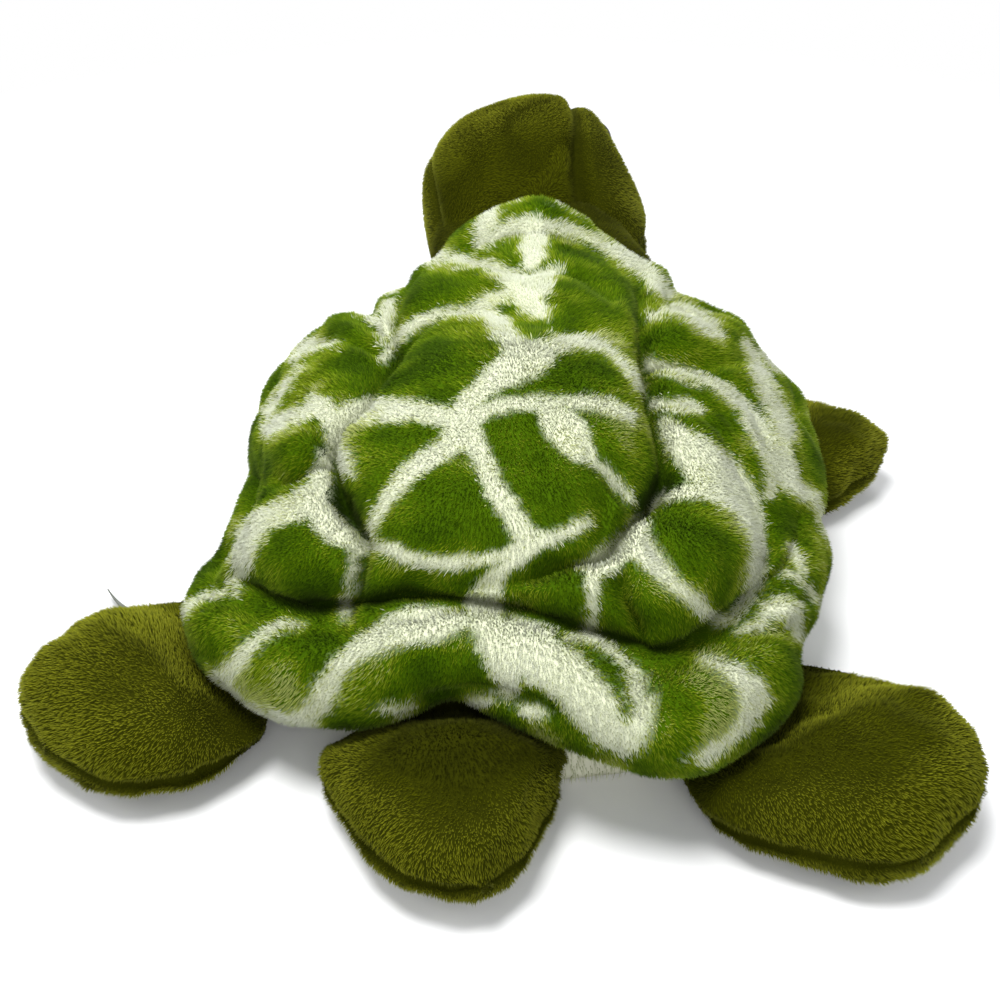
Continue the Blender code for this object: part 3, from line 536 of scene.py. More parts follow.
def tree_of(piece):
    """A search tree over a piece's triangles."""
    mesh = piece.data
    mesh.calc_loop_triangles()
    return BVHTree.FromPolygons([v.co for v in mesh.vertices],
                                [t.vertices for t in mesh.loop_triangles])


def seen_from_camera(piece, trees):
    """1 where the camera sees a piece's points, 0 where it doesn't, softened between."""
    points, normals = points_of(piece), normals_of(piece)
    facing = unit(eye_point - points)
    turned = (normals * facing).sum(1)
    seen = smooth_step(0.02, 0.22, turned)
    for index in np.flatnonzero(seen > 0):
        start = Vector(points[index] + normals[index] * 0.003)
        if any(tree.ray_cast(start, Vector(facing[index]), 1.0)[0] for tree in trees):
            seen[index] = 0.0
    ends = edge_ends(piece)
    count = np.bincount(ends.ravel(), minlength=len(points))
    for _ in range(3):
        total = np.zeros(len(points))
        np.add.at(total, ends[:, 0], seen[ends[:, 1]])
        np.add.at(total, ends[:, 1], seen[ends[:, 0]])
        seen = (seen + total) / (1 + count)
    return seen


def spread(piece, seen, rings=7):
    """Let the seen share reach a few rings of points further."""
    ends = edge_ends(piece)
    for _ in range(rings):
        wider = seen.copy()
        np.maximum.at(wider, ends[:, 0], seen[ends[:, 1]])
        np.maximum.at(wider, ends[:, 1], seen[ends[:, 0]])
        seen = wider
    return seen


print("the camera stands", round(float(np.linalg.norm(eye_point)), 2), "m from the origin")

# %% [markdown]
# ## Dome and rim
# The real shell is a padded dome in a stuffed tube that goes all round it. A torus is
# laid round the rim's route, and a grid is wrapped over it, its two ends joined and its
# last row drawn together at the crown. Then the brush presses the creases in.

# %% Dome and rim
def round_the_rim(torus, thinned):
    """A torus's points laid round the route: its middle line, the way off it, and outwards."""
    ring = points_of(torus)
    turn = np.arctan2(ring[:, 1], ring[:, 0])
    around = np.arctan2(ring[:, 2], np.hypot(ring[:, 0], ring[:, 1]) - 1.0)
    middle, sizes = rim_at(turn)
    sizes = thinned(sizes)
    along = unit(rim_at(turn + 0.03)[0] - rim_at(turn - 0.03)[0])
    out = unit(np.cross(along, (0, 0, 1)))
    up = unit(np.cross(out, along))
    off = out * (np.cos(around) * sizes[:, 0])[:, None] + up * (np.sin(around) * sizes[:, 1])[:, None]
    return middle, off, out


def unit_grid(piece):
    """A grid primitive's points as two shares from 0 to 1."""
    points = points_of(piece)
    return points[:, 0] + 0.5, points[:, 1] + 0.5


pile_room = 0.001   # the backing lies this far inside the solid, under its pile
rim = primitive(bpy.ops.mesh.primitive_torus_add, "shell_rim", major_segments=400,
                minor_segments=44, major_radius=1.0, minor_radius=0.25)
rim_middle, off_middle, outward = round_the_rim(rim, lambda sizes: sizes - pile_room)
slack = 1 + 0.05 * wave(rim_middle, 0.09, 4)[:, None]
rim_points = rim_middle + off_middle * slack
rim_points = rim_points + 0.0012 * wave(rim_points, 0.045, 5)[:, None] * outward
move_points(rim, grabbed(rim_points, shell_pulls))
in_edit_mode(rim, outwards)

dome = primitive(bpy.ops.mesh.primitive_grid_add, "shell_dome", size=1,
                 x_subdivisions=400, y_subdivisions=116)
turn_share, row_share = unit_grid(dome)
dome_points = dome_surface(turn_share * math.tau, 0.05 + 0.95 * row_share)
crown = row_share > 0.999
dome_points[crown] = dome_points[crown].mean(0)
move_points(dome, grabbed(dome_points, shell_pulls))
in_edit_mode(dome, merge_doubles, outwards)
finish_shape(rim, smooth=1)
finish_shape(dome, smooth=3)
print("dome", len(dome.data.polygons), "faces, rim", len(rim.data.polygons))

# %% Press and swell them
shell_trees = [tree_of(rim), tree_of(dome)]
dome_seen = seen_from_camera(dome, shell_trees)
rim_seen = seen_from_camera(rim, shell_trees)
brushed(dome, creases, swellings, dome_seen)
brushed(rim, rim_creases, swellings, rim_seen)
for piece, size, height, seed in ((dome, 0.020, 0.0006, 11), (rim, 0.022, 0.0007, 12)):
    finish_shape(piece, smooth=2)
    ripples = wave(points_of(piece), size, seed)[:, None] * height
    move_points(piece, points_of(piece) + normals_of(piece) * ripples)
print("seen share of the dome", round(float(dome_seen.mean()), 2))

# %% [markdown]
# ## The printed pattern
# The cloth is printed with green plates and cream veins. The veins that the photograph
# shows are followed as paths with a width, a common turtle-shell net. Where the camera
# doesn't see the shell, the net goes on as the borders between scattered cell middles.

# %% Veins, as (across, down, width) in the photograph
veins = (
    ((383, 360, 7), (392, 346, 8), (402, 334, 9), (420, 322, 11), (440, 315, 10),
     (462, 312, 9), (480, 312, 12), (493, 316, 18), (501, 327, 22), (510, 340, 20),
     (522, 352, 26)),
    ((464, 408, 24), (480, 391, 20), (496, 377, 26), (515, 366, 34), (536, 356, 34),
     (553, 346, 22), (575, 342, 15), (600, 346, 11), (616, 358, 8), (632, 376, 7), (641, 392, 6)),
    ((466, 424, 30), (445, 417, 20), (420, 411, 20), (395, 410, 24), (370, 411, 26),
     (350, 413, 22), (338, 424, 20), (335, 440, 18), (342, 456, 16), (350, 472, 10)),
    ((462, 432, 30), (448, 446, 22), (432, 457, 20), (418, 465, 20), (406, 477, 19),
     (394, 491, 15), (382, 507, 12), (374, 524, 10), (366, 540, 9), (358, 552, 10)),
    ((468, 432, 28), (479, 449, 19), (486, 464, 18), (491, 480, 18), (498, 494, 20),
     (508, 507, 20), (515, 519, 20), (523, 532, 24), (531, 542, 20)),
    ((470, 418, 26), (486, 409, 16), (505, 405, 13), (525, 403, 13), (547, 403, 13),
     (570, 403, 12), (592, 402, 14), (610, 407, 16), (628, 415, 12)),
    ((545, 405, 20), (556, 420, 34), (570, 434, 38), (580, 448, 28), (590, 458, 14)),
    ((590, 458, 6), (602, 468, 9), (612, 479, 9), (622, 488, 8), (632, 498, 8)),
    ((358, 552, 12), (372, 543, 11), (390, 548, 12), (408, 557, 13), (430, 562, 13),
     (455, 563, 13), (480, 560, 12), (502, 556, 13), (520, 551, 20), (540, 541, 15),
     (560, 535, 12), (576, 527, 12), (586, 521, 9)),
    ((519, 556, 16), (505, 567, 13), (494, 577, 20), (487, 590, 28), (483, 605, 32), (487, 620, 34)),
    ((326, 455, 14), (323, 475, 20), (315, 496, 28), (300, 507, 26), (280, 513, 22),
     (263, 521, 24), (252, 534, 27), (246, 550, 22), (241, 566, 18), (236, 582, 12), (238, 592, 5)),
    ((316, 500, 26), (324, 518, 26), (335, 530, 26), (350, 540, 20), (358, 549, 12)),
    ((355, 556, 8), (352, 575, 7), (349, 592, 7), (345, 614, 8)),
    ((296, 358, 8), (306, 347, 18), (320, 344, 12), (338, 343, 6)),
    ((272, 412, 14), (280, 398, 9), (290, 384, 6), (303, 367, 5)),
    ((272, 428, 16), (290, 419, 18), (305, 413, 18), (318, 405, 22), (330, 416, 22), (338, 428, 20)),
    ((398, 287, 8), (392, 300, 12), (388, 316, 16), (386, 330, 14), (383, 342, 8)),
    ((360, 315, 5), (372, 319, 8), (386, 324, 12)),
    ((433, 262, 8), (446, 257, 13), (462, 262, 12), (480, 264, 10), (495, 269, 12),
     (510, 278, 18), (520, 286, 30), (531, 290, 32), (541, 283, 24), (549, 275, 14), (558, 271, 7)),
    ((520, 292, 24), (530, 302, 26), (539, 310, 16), (546, 314, 8)),
    ((512, 292, 16), (497, 299, 14), (486, 304, 16), (481, 311, 14)),
    ((498, 206, 10), (490, 216, 16), (487, 228, 20), (485, 240, 18)),
    ((485, 240, 16), (500, 234, 13), (515, 228, 15), (535, 225, 17), (555, 229, 13),
     (575, 233, 11), (595, 242, 12), (610, 250, 14), (625, 258, 16), (640, 268, 18),
     (655, 283, 18), (665, 293, 14)),
    ((530, 226, 20), (535, 242, 27), (534, 254, 26), (530, 264, 14)),
    ((464, 214, 5), (482, 206, 7), (500, 201, 7), (520, 197, 4)),
    ((650, 318, 6), (662, 312, 9), (678, 311, 12), (694, 317, 18), (706, 326, 16), (718, 336, 7)),
    ((651, 365, 12), (670, 370, 12), (692, 378, 11), (710, 383, 12), (726, 392, 13),
     (737, 402, 14), (747, 414, 17), (757, 428, 20), (766, 442, 24), (773, 458, 26), (776, 472, 24)),
    ((744, 343, 9), (751, 354, 13), (754, 366, 15), (759, 378, 18), (766, 392, 18),
     (773, 408, 18), (779, 424, 20), (781, 442, 20), (783, 462, 22), (788, 480, 22), (800, 490, 14),
     (812, 496, 11), (818, 508, 10), (820, 522, 8), (823, 534, 6)),
    ((756, 352, 8), (766, 360, 10), (776, 368, 8)),
    ((655, 405, 9), (670, 405, 14), (686, 406, 16), (698, 410, 8)),
    ((666, 424, 14), (675, 436, 26), (687, 448, 36), (702, 462, 42), (718, 475, 42),
     (731, 488, 38), (743, 503, 31), (751, 518, 24), (755, 533, 18), (757, 550, 16),
     (757, 567, 16), (754, 582, 15), (747, 596, 13), (740, 608, 12), (732, 618, 11),
     (720, 621, 11), (708, 612, 12), (696, 601, 13), (684, 591, 13), (672, 581, 14),
     (661, 570, 17), (650, 559, 22), (641, 546, 26), (636, 534, 26), (640, 524, 18)),
    ((742, 500, 28), (722, 492, 26), (702, 489, 20), (682, 492, 14), (666, 497, 10),
     (656, 503, 8), (650, 512, 7)),
    ((632, 540, 26), (618, 552, 26), (605, 561, 26), (595, 569, 22), (592, 582, 13),
     (592, 602, 9), (591, 620, 9), (588, 634, 12), (600, 643, 9), (615, 654, 9), (626, 663, 10),
     (633, 675, 14), (637, 690, 17), (641, 707, 18), (638, 724, 22), (628, 738, 28)),
    ((600, 561, 20), (588, 566, 12), (580, 568, 6)),
    ((588, 634, 10), (577, 638, 9), (566, 640, 6)),
    ((703, 660, 7), (714, 662, 9), (724, 668, 14), (736, 675, 20), (748, 685, 27),
     (755, 700, 26), (750, 715, 18), (740, 728, 14), (726, 740, 12), (712, 749, 14), (702, 758, 10)),
    ((498, 640, 44), (518, 650, 46), (540, 660, 48), (562, 673, 48), (580, 690, 46),
     (596, 710, 44), (610, 730, 36), (624, 742, 26)),
    ((512, 628, 20), (530, 628, 14), (548, 634, 14)),
    ((500, 655, 30), (508, 675, 30), (508, 690, 18)),
    ((214, 680, 8), (222, 676, 15), (235, 665, 18), (245, 653, 14), (256, 642, 12),
     (270, 631, 9), (285, 625, 8), (300, 625, 5)),
    ((226, 684, 14), (236, 696, 14), (250, 708, 12), (268, 715, 10), (290, 719, 12),
     (308, 716, 20), (322, 702, 26), (330, 684, 22), (340, 667, 20), (355, 652, 18),
     (375, 640, 24), (395, 630, 32), (412, 626, 38), (432, 624, 34), (450, 622, 24), (463, 621, 14)),
    ((180, 616, 9), (190, 606, 10), (205, 598, 9), (220, 593, 7), (236, 592, 6)),
    ((380, 706, 6), (400, 709, 9), (412, 706, 8)),
    ((556, 199, 3), (585, 216, 4), (612, 235, 4), (637, 254, 5)),
    ((454, 716, 12), (464, 706, 14), (480, 700, 8), (496, 697, 5)),
    ((524, 708, 12), (538, 712, 14)),
    ((814, 405, 8), (820, 420, 10), (822, 436, 6)),
    ((776, 468, 22), (771, 480, 17), (768, 494, 10)),
    ((789, 545, 7), (796, 556, 10), (800, 570, 9)),
    ((780, 573, 4), (792, 574, 6), (801, 582, 7), (811, 592, 9), (818, 604, 6)),
    ((766, 612, 14), (776, 606, 20), (789, 609, 22), (794, 621, 18), (797, 634, 10)),
    ((736, 632, 5), (750, 626, 8), (765, 623, 8)),
)


print(len(veins), "veins")

# %% Where the plates turn yellow-green, where painted shade darkens them, and the pits' painted shadow
paler_and_painted_shade = (   # where the plates turn yellow-green: across, down, half width, how much
    (262, 682, 30, 0.30), (285, 690, 26, 0.28), (215, 640, 24, 0.14), (372, 680, 22, 0.22),
    (380, 665, 20, 0.12), (450, 640, 26, 0.14), (455, 632, 14, 0.18), (603, 672, 18, 0.16),
    (612, 692, 16, 0.20), (690, 690, 34, 0.26), (725, 690, 26, 0.34), (660, 712, 24, 0.20),
    (700, 735, 28, 0.22), (740, 716, 22, 0.20), (765, 640, 20, 0.16), (745, 636, 16, 0.22),
    (620, 425, 24, 0.24), (640, 440, 22, 0.18), (600, 412, 20, 0.24), (560, 466, 20, 0.26),
    (548, 440, 20, 0.20), (505, 430, 20, 0.14), (640, 575, 22, 0.26), (665, 585, 20, 0.24),
    (668, 620, 20, 0.16), (728, 520, 22, 0.24), (722, 545, 26, 0.16), (700, 580, 18, 0.12),
    (520, 448, 16, 0.16), (450, 322, 22, 0.16), (480, 335, 18, 0.14), (410, 345, 20, 0.10),
    (350, 440, 16, 0.30), (360, 430, 18, 0.22), (470, 455, 14, 0.18), (440, 480, 16, 0.10),
    (310, 380, 20, 0.12), (345, 392, 18, 0.12), (285, 435, 20, 0.14), (270, 560, 18, 0.10),
    (620, 345, 20, 0.26), (632, 372, 16, 0.30), (600, 325, 24, 0.12), (700, 345, 26, 0.16),
    (770, 455, 12, 0.22), (745, 440, 14, 0.18), (800, 505, 14, 0.10), (795, 555, 14, 0.12),
    (395, 557, 18, 0.20), (430, 575, 20, 0.10), (530, 600, 22, 0.14), (505, 255, 18, 0.08),
    (545, 305, 20, 0.10), (480, 285, 20, 0.12), (820, 555, 16, 0.12), (600, 758, 24, 0.16),
    (660, 765, 30, 0.14), (560, 735, 20, 0.14),
    # Negative amounts darken the crown's most lit tops: a painted shade.
    (420, 372, 46, -0.16), (700, 535, 30, -0.12), (560, 385, 40, -0.08), (540, 475, 26, -0.10),
    (430, 300, 34, -0.08), (590, 270, 40, -0.06))

# The pits take the darkest green down to the roots: a painted shadow.
pit_shadows = ((337, 497, 11), (345, 510, 9), (355, 521, 8), (366, 534, 6),   # green down to the roots
        (660, 484, 13), (674, 481, 10), (645, 497, 9), (322, 451, 5))
print(len(paler_and_painted_shade), "changes of shade")

# %% The net where the camera doesn't see the shell
def cell_middles():
    """Scattered middles for the net that the camera doesn't see, evenly apart."""
    spots = np.concatenate([points_of(dome)[::7], points_of(rim)[::7]])
    order = np.random.default_rng(21).permutation(len(spots))
    kept = []
    for spot in spots[order]:
        if all(np.linalg.norm(spot - other) > 0.052 for other in kept):
            kept.append(spot)
    return np.array(kept)


cells = cell_middles()


def vein_edge(points, seen):
    """How far inside a vein points lie, in pixels of the photograph: negative outside."""
    spots = in_photo(points)
    inside = np.full(len(points), -60.0)
    for path in veins:
        away, width = beside(path, spots)
        inside = np.maximum(inside, width / 2 - away)
    bent = points + 0.006 * np.stack([wave(points, 0.05, seed) for seed in (31, 32, 33)], 1)
    gaps = np.sort(np.linalg.norm(bent[:, None] - cells[None], axis=2), axis=1)
    half_vein = 0.0115 + 0.004 * wave(points, 0.06, 34)
    unseen = (half_vein - (gaps[:, 1] - gaps[:, 0])) * 900
    return inside * seen + unseen * (1 - seen)


for piece, seen in ((dome, dome_seen), (rim, rim_seen)):
    seen = smooth_step(0.05, 0.5, spread(piece, seen))
    points = points_of(piece)
    note(piece, "seen", seen)
    note(piece, "cream", smooth_step(-5, 5, vein_edge(points, seen) + 2 * wave(points, 0.006, 35)))
print(len(cells), "cells where nothing is seen")

# %% [markdown]
# ## Materials
# Each cloth has two finishes: the backing, which shows dark between the tufts, and the
# pile itself. A tuft is painted from its own small map: across the map is its shade,
# from dark green to cream, and up the map is its length, darker at the root as a
# painted shade deep in the pile.

# %% A material, written a line at a time
def colour(red, green, blue):
    """A colour as an eye reads it off a screen, turned into light."""
    return [((c / 255 + 0.055) / 1.055) ** 2.4 if c > 10 else c / 3295
            for c in (red, green, blue)] + [1]


class Finish:
    """A node material that is written a line at a time."""

    def __init__(self, name, roughness, **sockets):
        self.material = bpy.data.materials.new(name)
        self.material.use_nodes = True
        self.tree = self.material.node_tree
        self.shader = self.tree.nodes["Principled BSDF"]
        self.shader.inputs["Roughness"].default_value = roughness
        for socket, value in sockets.items():
            self.shader.inputs[socket.replace("_", " ")].default_value = value

    def node(self, kind, **inputs):
        made = self.tree.nodes.new("ShaderNode" + kind)
        for socket, value in inputs.items():
            self.feed(made.inputs[socket.replace("_", " ")], value)
        return made

    def feed(self, socket, value):
        if hasattr(value, "is_output"):
            self.tree.links.new(value, socket)
        else:
            socket.default_value = value

    def ramp(self, value, *stops):
        made = self.node("ValToRGB", Fac=value)
        while len(made.color_ramp.elements) < len(stops):
            made.color_ramp.elements.new(0.5)
        for element, (place, shade) in zip(made.color_ramp.elements, stops):
            element.position = place
            element.color = shade
        return made.outputs["Color"]

    def mix(self, share, first, second, how="MIX"):
        made = self.tree.nodes.new("ShaderNodeMix")
        made.data_type = "RGBA"
        made.blend_type = how
        for socket, value in ((0, share), (6, first), (7, second)):
            self.feed(made.inputs[socket], value)
        return made.outputs[2]

    def noise(self, scale, detail=3.0):
        place = self.node("TexCoord").outputs["Object"]
        return self.node("TexNoise", Vector=place, Scale=scale, Detail=detail).outputs["Fac"]

    def bump(self, height, strength, distance):
        made = self.node("Bump", Height=height, Strength=strength, Distance=distance)
        self.feed(self.shader.inputs["Normal"], made.outputs["Normal"])

    def paint(self, shade):
        self.feed(self.shader.inputs["Base Color"], shade)
        return self.material


def grey(level):
    return [level, level, level, 1]


print("mid grey in light:", round(colour(128, 128, 128)[0], 3))

# %% Colours and finishes of the pile
green_dark, green, green_light = colour(54, 84, 1), colour(98, 132, 3), colour(156, 176, 36)
cream, cream_light = colour(212, 218, 194), colour(230, 234, 222)
olive_dark, olive, olive_light = colour(40, 43, 1), colour(88, 93, 3), colour(150, 154, 34)


def pile_finish(name, shades, deep, glance, root, sheen):
    """Tufts: shade across the map, root to tip up the map with a painted shade towards the root, and
    a soft gleam at a glance.
    """
    made = Finish(name, 0.9, Specular_IOR_Level=0.03, Sheen_Weight=sheen, Sheen_Roughness=0.5,
                  Sheen_Tint=glance)
    parts = made.node("SeparateXYZ", Vector=made.node("UVMap").outputs["UV"])
    parts.inputs[0].links[0].from_node.uv_map = "OFBake"
    shade = made.ramp(parts.outputs["X"], *shades)
    # Up the map a tuft darkens towards its root: a painted shade deep in the pile.
    dark = made.ramp(parts.outputs["Y"], (0.0, grey(root)), (0.45, grey(0.36 + 0.6 * root)),
                     (0.95, grey(1.0)))
    pale = made.ramp(parts.outputs["Y"], (0.0, (0.26 * deep, 0.30 * deep, 0.14 * deep, 1)),
                     (0.40, (deep, deep, 0.84 * deep, 1)), (0.9, grey(1.0)))
    which = made.ramp(parts.outputs["X"], (0.50, grey(0.0)), (0.60, grey(1.0)))
    return made.paint(made.mix(1.0, shade, made.mix(which, dark, pale), "MULTIPLY"))


shell_pile = pile_finish("printed_pile", ((0.0, green_dark), (0.22, green), (0.44, green_light),
                                          (0.56, colour(206, 214, 140)), (0.68, cream),
                                          (1.0, cream_light)),
                         0.74, (0.55, 0.62, 0.22, 1), 0.20, 0.10)
olive_pile = pile_finish("olive_pile", ((0.0, olive_dark), (0.5, olive), (1.0, olive_light)),
                         0.25, (0.62, 0.66, 0.12, 1), 0.34, 0.24)
cream_pile = pile_finish("cream_pile", ((0.6, colour(206, 206, 178)), (0.95, cream)),
                         0.78, (0.7, 0.7, 0.6, 1), 0.4, 0.1)
print("the pile's finishes are made")

# %% Backings
def backing_finish(name, dark, light):
    """Knitted backing and the roots of the pile, mottled where the nap turns."""
    made = Finish(name, 0.95, Specular_IOR_Level=0.04)
    shade = made.mix(made.noise(60), dark, light)
    made.bump(made.noise(900, 2.0), 0.6, 0.001)
    return made, shade


made, plates = backing_finish("printed_backing", colour(48, 74, 2), colour(74, 104, 4))
share = made.node("Attribute")
share.attribute_name = "cream"
cloth = made.mix(share.outputs["Fac"], plates, colour(214, 218, 188))
# The backing darkens in the deep creases: a painted shadow.
sunk = made.node("Attribute")
sunk.attribute_name = "crease"
shadow = made.ramp(sunk.outputs["Fac"], (0.0, grey(1.0)), (1.0, grey(0.35)))
printed_backing = made.paint(made.mix(1.0, cloth, shadow, "MULTIPLY"))
made, shade = backing_finish("olive_backing", colour(36, 39, 1), colour(54, 57, 2))
olive_backing = made.paint(shade)
made, shade = backing_finish("cream_backing", colour(196, 196, 172), colour(224, 224, 202))
cream_backing = made.paint(shade)
print("the backings are made")

# %% Filling, ribbon, buttons and washers
made = Finish("polyester_wadding", 0.9, Specular_IOR_Level=0.2)
made.bump(made.noise(260, 6.0), 0.8, 0.002)
wadding = made.paint(made.mix(made.noise(40), colour(226, 226, 222), colour(246, 246, 244)))
made = Finish("satin_ribbon", 0.6, Specular_IOR_Level=0.2)
made.bump(made.node("TexWave", Vector=made.node("TexCoord").outputs["Object"], Scale=420.0)
          .outputs["Fac"], 0.15, 0.0002)
# The ribbon's grey is a painted shade: the label is white satin, darkened as it looks in the shade
# low at the floor.
shaded_satin = made.paint(made.mix(made.noise(90), colour(96, 100, 92), colour(118, 122, 112)))
made = Finish("button_plastic", 0.09, Specular_IOR_Level=0.6, Coat_Weight=0.5, Coat_Roughness=0.04)
button = made.paint(made.mix(made.noise(300), colour(10, 8, 8), colour(24, 16, 12)))
made = Finish("washer_plastic", 0.45)
made.bump(made.noise(700), 0.2, 0.0003)
washer = made.paint(made.mix(made.noise(120), colour(224, 224, 220), colour(238, 238, 236)))


def clothe(piece, finish):
    piece.data.materials.clear()
    piece.data.materials.append(finish)


print(len(bpy.data.materials), "materials")

# %% [markdown]
# ## Growing the pile
# Hair curves would not survive as an ordinary mesh, so each tuft is a slim closed spike
# of four faces. A tuft stands on a random spot of its backing, leans with the nap, and
# takes its shade from the spot it grows on, which gives the print its soft edges.

# %% Spots for the tufts
def kept_value(mesh, name, otherwise):
    values = np.full(len(mesh.vertices), otherwise, np.float32)
    if name in mesh.attributes:
        mesh.attributes[name].data.foreach_get("value", values)
    return values


def spots_on(pieces, count, seed):
    """Random spots, even by area, on some backings: places, normals and the kept values."""
    rows = []
    for piece in pieces:
        mesh = piece.data
        mesh.calc_loop_triangles()
        faces = np.zeros(len(mesh.loop_triangles) * 3, int)
        mesh.loop_triangles.foreach_get("vertices", faces)
        kept = np.stack([kept_value(mesh, "seen", 1.0), kept_value(mesh, "crease", 0.0)], 1)
        known = np.concatenate([points_of(piece), normals_of(piece), kept], 1)
        rows.append(known[faces.reshape(-1, 3)])
    corners = np.concatenate(rows)
    sides = corners[:, 1:, :3] - corners[:, :1, :3]
    areas = np.linalg.norm(np.cross(sides[:, 0], sides[:, 1]), axis=1)
    dice = np.random.default_rng(seed)
    totals = np.cumsum(areas)
    chosen = np.searchsorted(totals, (np.arange(count) + dice.random(count)) / count * totals[-1])
    chosen = np.minimum(chosen, len(totals) - 1)
    first = np.sqrt(dice.random(count))
    second = dice.random(count)
    weights = np.stack([1 - first, first * (1 - second), first * second], 1)
    mixed = (corners[chosen] * weights[..., None]).sum(1)
    return mixed[:, :3], unit(mixed[:, 3:6]), mixed[:, 6], mixed[:, 7], dice


print("a test spot:", np.round(spots_on([rim], 1, 1)[0][0], 3))

# %% Growing the tufts
def grow_pile(name, body, pieces, count, finish, shades, length=0.0035, width=0.00070,
              lean=44.0, swirl=0.40, flow=None, hidden=None, shorter=None, seed=1):
    """Tufts over some backings, as one piece that rides with them."""
    place, normal, seen, crease, dice = spots_on(pieces, count, seed)
    keep = place[:, 2] > 0.0035
    keep &= (normal[:, 2] > -0.55) | (place[:, 2] > 0.010)
    if hidden is not None:
        keep &= ~hidden(place, normal)
    place, normal, seen, crease = place[keep], normal[keep], seen[keep], crease[keep]
    count = len(place)
    nap = flow(place) if flow else np.tile((0.0, 1.0, 0.0), (count, 1))
    nap = nap + swirl * np.stack([wave(place, 0.05, 60 + axis) for axis in range(3)], 1)
    nap = unit(nap - normal * (nap * normal).sum(1)[:, None])
    tilt = np.radians(lean + dice.normal(0, 9, count))[:, None]
    way = unit(normal * np.cos(tilt) + nap * np.sin(tilt) + dice.normal(0, 0.10, (count, 3)))
    reach = length * dice.uniform(0.80, 1.10, count) * (1 - 0.45 * crease)
    if shorter is not None:
        reach = reach * shorter(place)
    side = unit(np.cross(way, normal))
    other = np.cross(way, side)
    root = place - normal * 0.0006
    tip = place + way * reach[:, None]
    tip[:, 2] = np.maximum(tip[:, 2], 0.0006)
    spin = dice.uniform(0, math.tau, count)
    corners, leaning = [], []
    for third in range(3):
        angle = spin + third * math.tau / 3
        swing = side * np.cos(angle)[:, None] + other * np.sin(angle)[:, None]
        corners.append(root + swing * width / 2)
        leaning.append(unit(normal + 0.55 * swing))
    corners.append(tip)
    leaning.append(unit(normal + 0.25 * way))
    points = np.stack(corners, 1).reshape(-1, 3)
    faces = np.array(((0, 1, 3), (1, 2, 3), (2, 0, 3), (0, 2, 1)))
    faces = (faces[None] + 4 * np.arange(count)[:, None, None]).reshape(-1, 3)
    outward = np.linalg.det(np.stack([points[1::4] - points[0::4], points[2::4] - points[0::4],
                                      points[3::4] - points[0::4]], 1)) > 0
    turned = np.repeat(~outward, 4)
    faces[turned] = faces[turned][:, ::-1]
    mesh = bpy.data.meshes.new(name)
    mesh.vertices.add(len(points))
    mesh.loops.add(len(faces) * 3)
    mesh.polygons.add(len(faces))
    mesh.vertices.foreach_set("co", points.astype(np.float32).ravel())
    mesh.loops.foreach_set("vertex_index", faces.astype(np.int32).ravel())
    mesh.polygons.foreach_set("loop_start", np.arange(0, len(faces) * 3, 3, dtype=np.int32))
    mesh.polygons.foreach_set("use_smooth", np.ones(len(faces), bool))
    mesh.update()
    shade = np.clip(shades(place, seen, dice), 0.02, 0.98)
    across = shade[faces // 4] + np.array((-0.006, 0.006, 0.0))
    # Tips in creases stay low on the map, so these tufts are darker: a painted shade in the creases.
    top = np.maximum(0.97 - 0.90 * crease - dice.uniform(0, 0.12, count), 0.05)
    height = np.where(faces % 4 == 3, top[faces // 4], 0.03) + np.array((0.0, 0.0, 0.01))
    uv = mesh.uv_layers.new(name="OFBake")
    uv.data.foreach_set("uv", np.stack([across, height], 2).astype(np.float32).ravel())
    leaning = np.stack(leaning, 1).reshape(-1, 3).astype(np.float32)
    mesh.normals_split_custom_set_from_vertices(leaning)
    made = bpy.data.objects.new(name, mesh)
    bpy.context.scene.collection.objects.link(made)
    mesh.materials.append(finish)
    if body:
        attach(made, body)
    print(f"{name}: {count} tufts")
    return made


print("tufts are", "many and fine")

# %% Shades of the print and of the olive cloth
def printed_shades(place, seen, dice):
    """Green plates with lighter borders, cream veins and a few fibres of each in the other, with
    painted shade on some plates and a painted shadow in the pits.
    """
    edge = vein_edge(place, seen) + 2.0 * wave(place, 0.010, 74) + dice.normal(0, 2.4, len(place))
    inside = smooth_step(-3.0, 3.0, edge)
    plate = 0.14 + 0.15 * wave(place, 0.030, 71) + dice.normal(0, 0.06, len(place))
    plate += 0.18 * smooth_step(-15, -2, edge)
    spots = in_photo(place)
    for across, down, width, much in paler_and_painted_shade:
        lighter = much * dab(spots, across, down, width)
        plate += lighter * seen * (0.75 + 0.5 * dice.random(len(place)))
    vein = 0.78 + 0.10 * wave(place, 0.03, 72) + dice.normal(0, 0.06, len(place))
    shade = np.clip(plate, 0.02, 0.50) * (1 - inside) + vein * inside
    # A painted shadow in the pits.
    for across, down, width in pit_shadows:
        away = np.hypot(spots[:, 0] - across, spots[:, 1] - down) / width
        shade = np.where((away < 1) & (seen > 0.5), 0.02, shade)
    return shade


def olive_shades(place, seen, dice):
    return 0.46 + 0.16 * wave(place, 0.06, 73) + dice.normal(0, 0.08, len(place))


# %% [markdown]
# ## Three panels and their seams
# The dome is sewn from a middle panel and two side panels, cut here along the CAD's
# seams.

# %% Shell panels, their wadding and their pile
middle_edges = np.array(((-0.90, 0.40, -0.26), (-0.62, 0.48, -0.34), (-0.30, 0.50, -0.37),
                         (0.05, 0.58, -0.42), (0.30, 0.50, -0.34), (0.58, 0.50, -0.28),
                         (0.85, 0.52, -0.12)))


def panel_edge(points, column):
    return half_width * np.interp(points[:, 1] / half_length, middle_edges[:, 0],
                                  middle_edges[:, column])


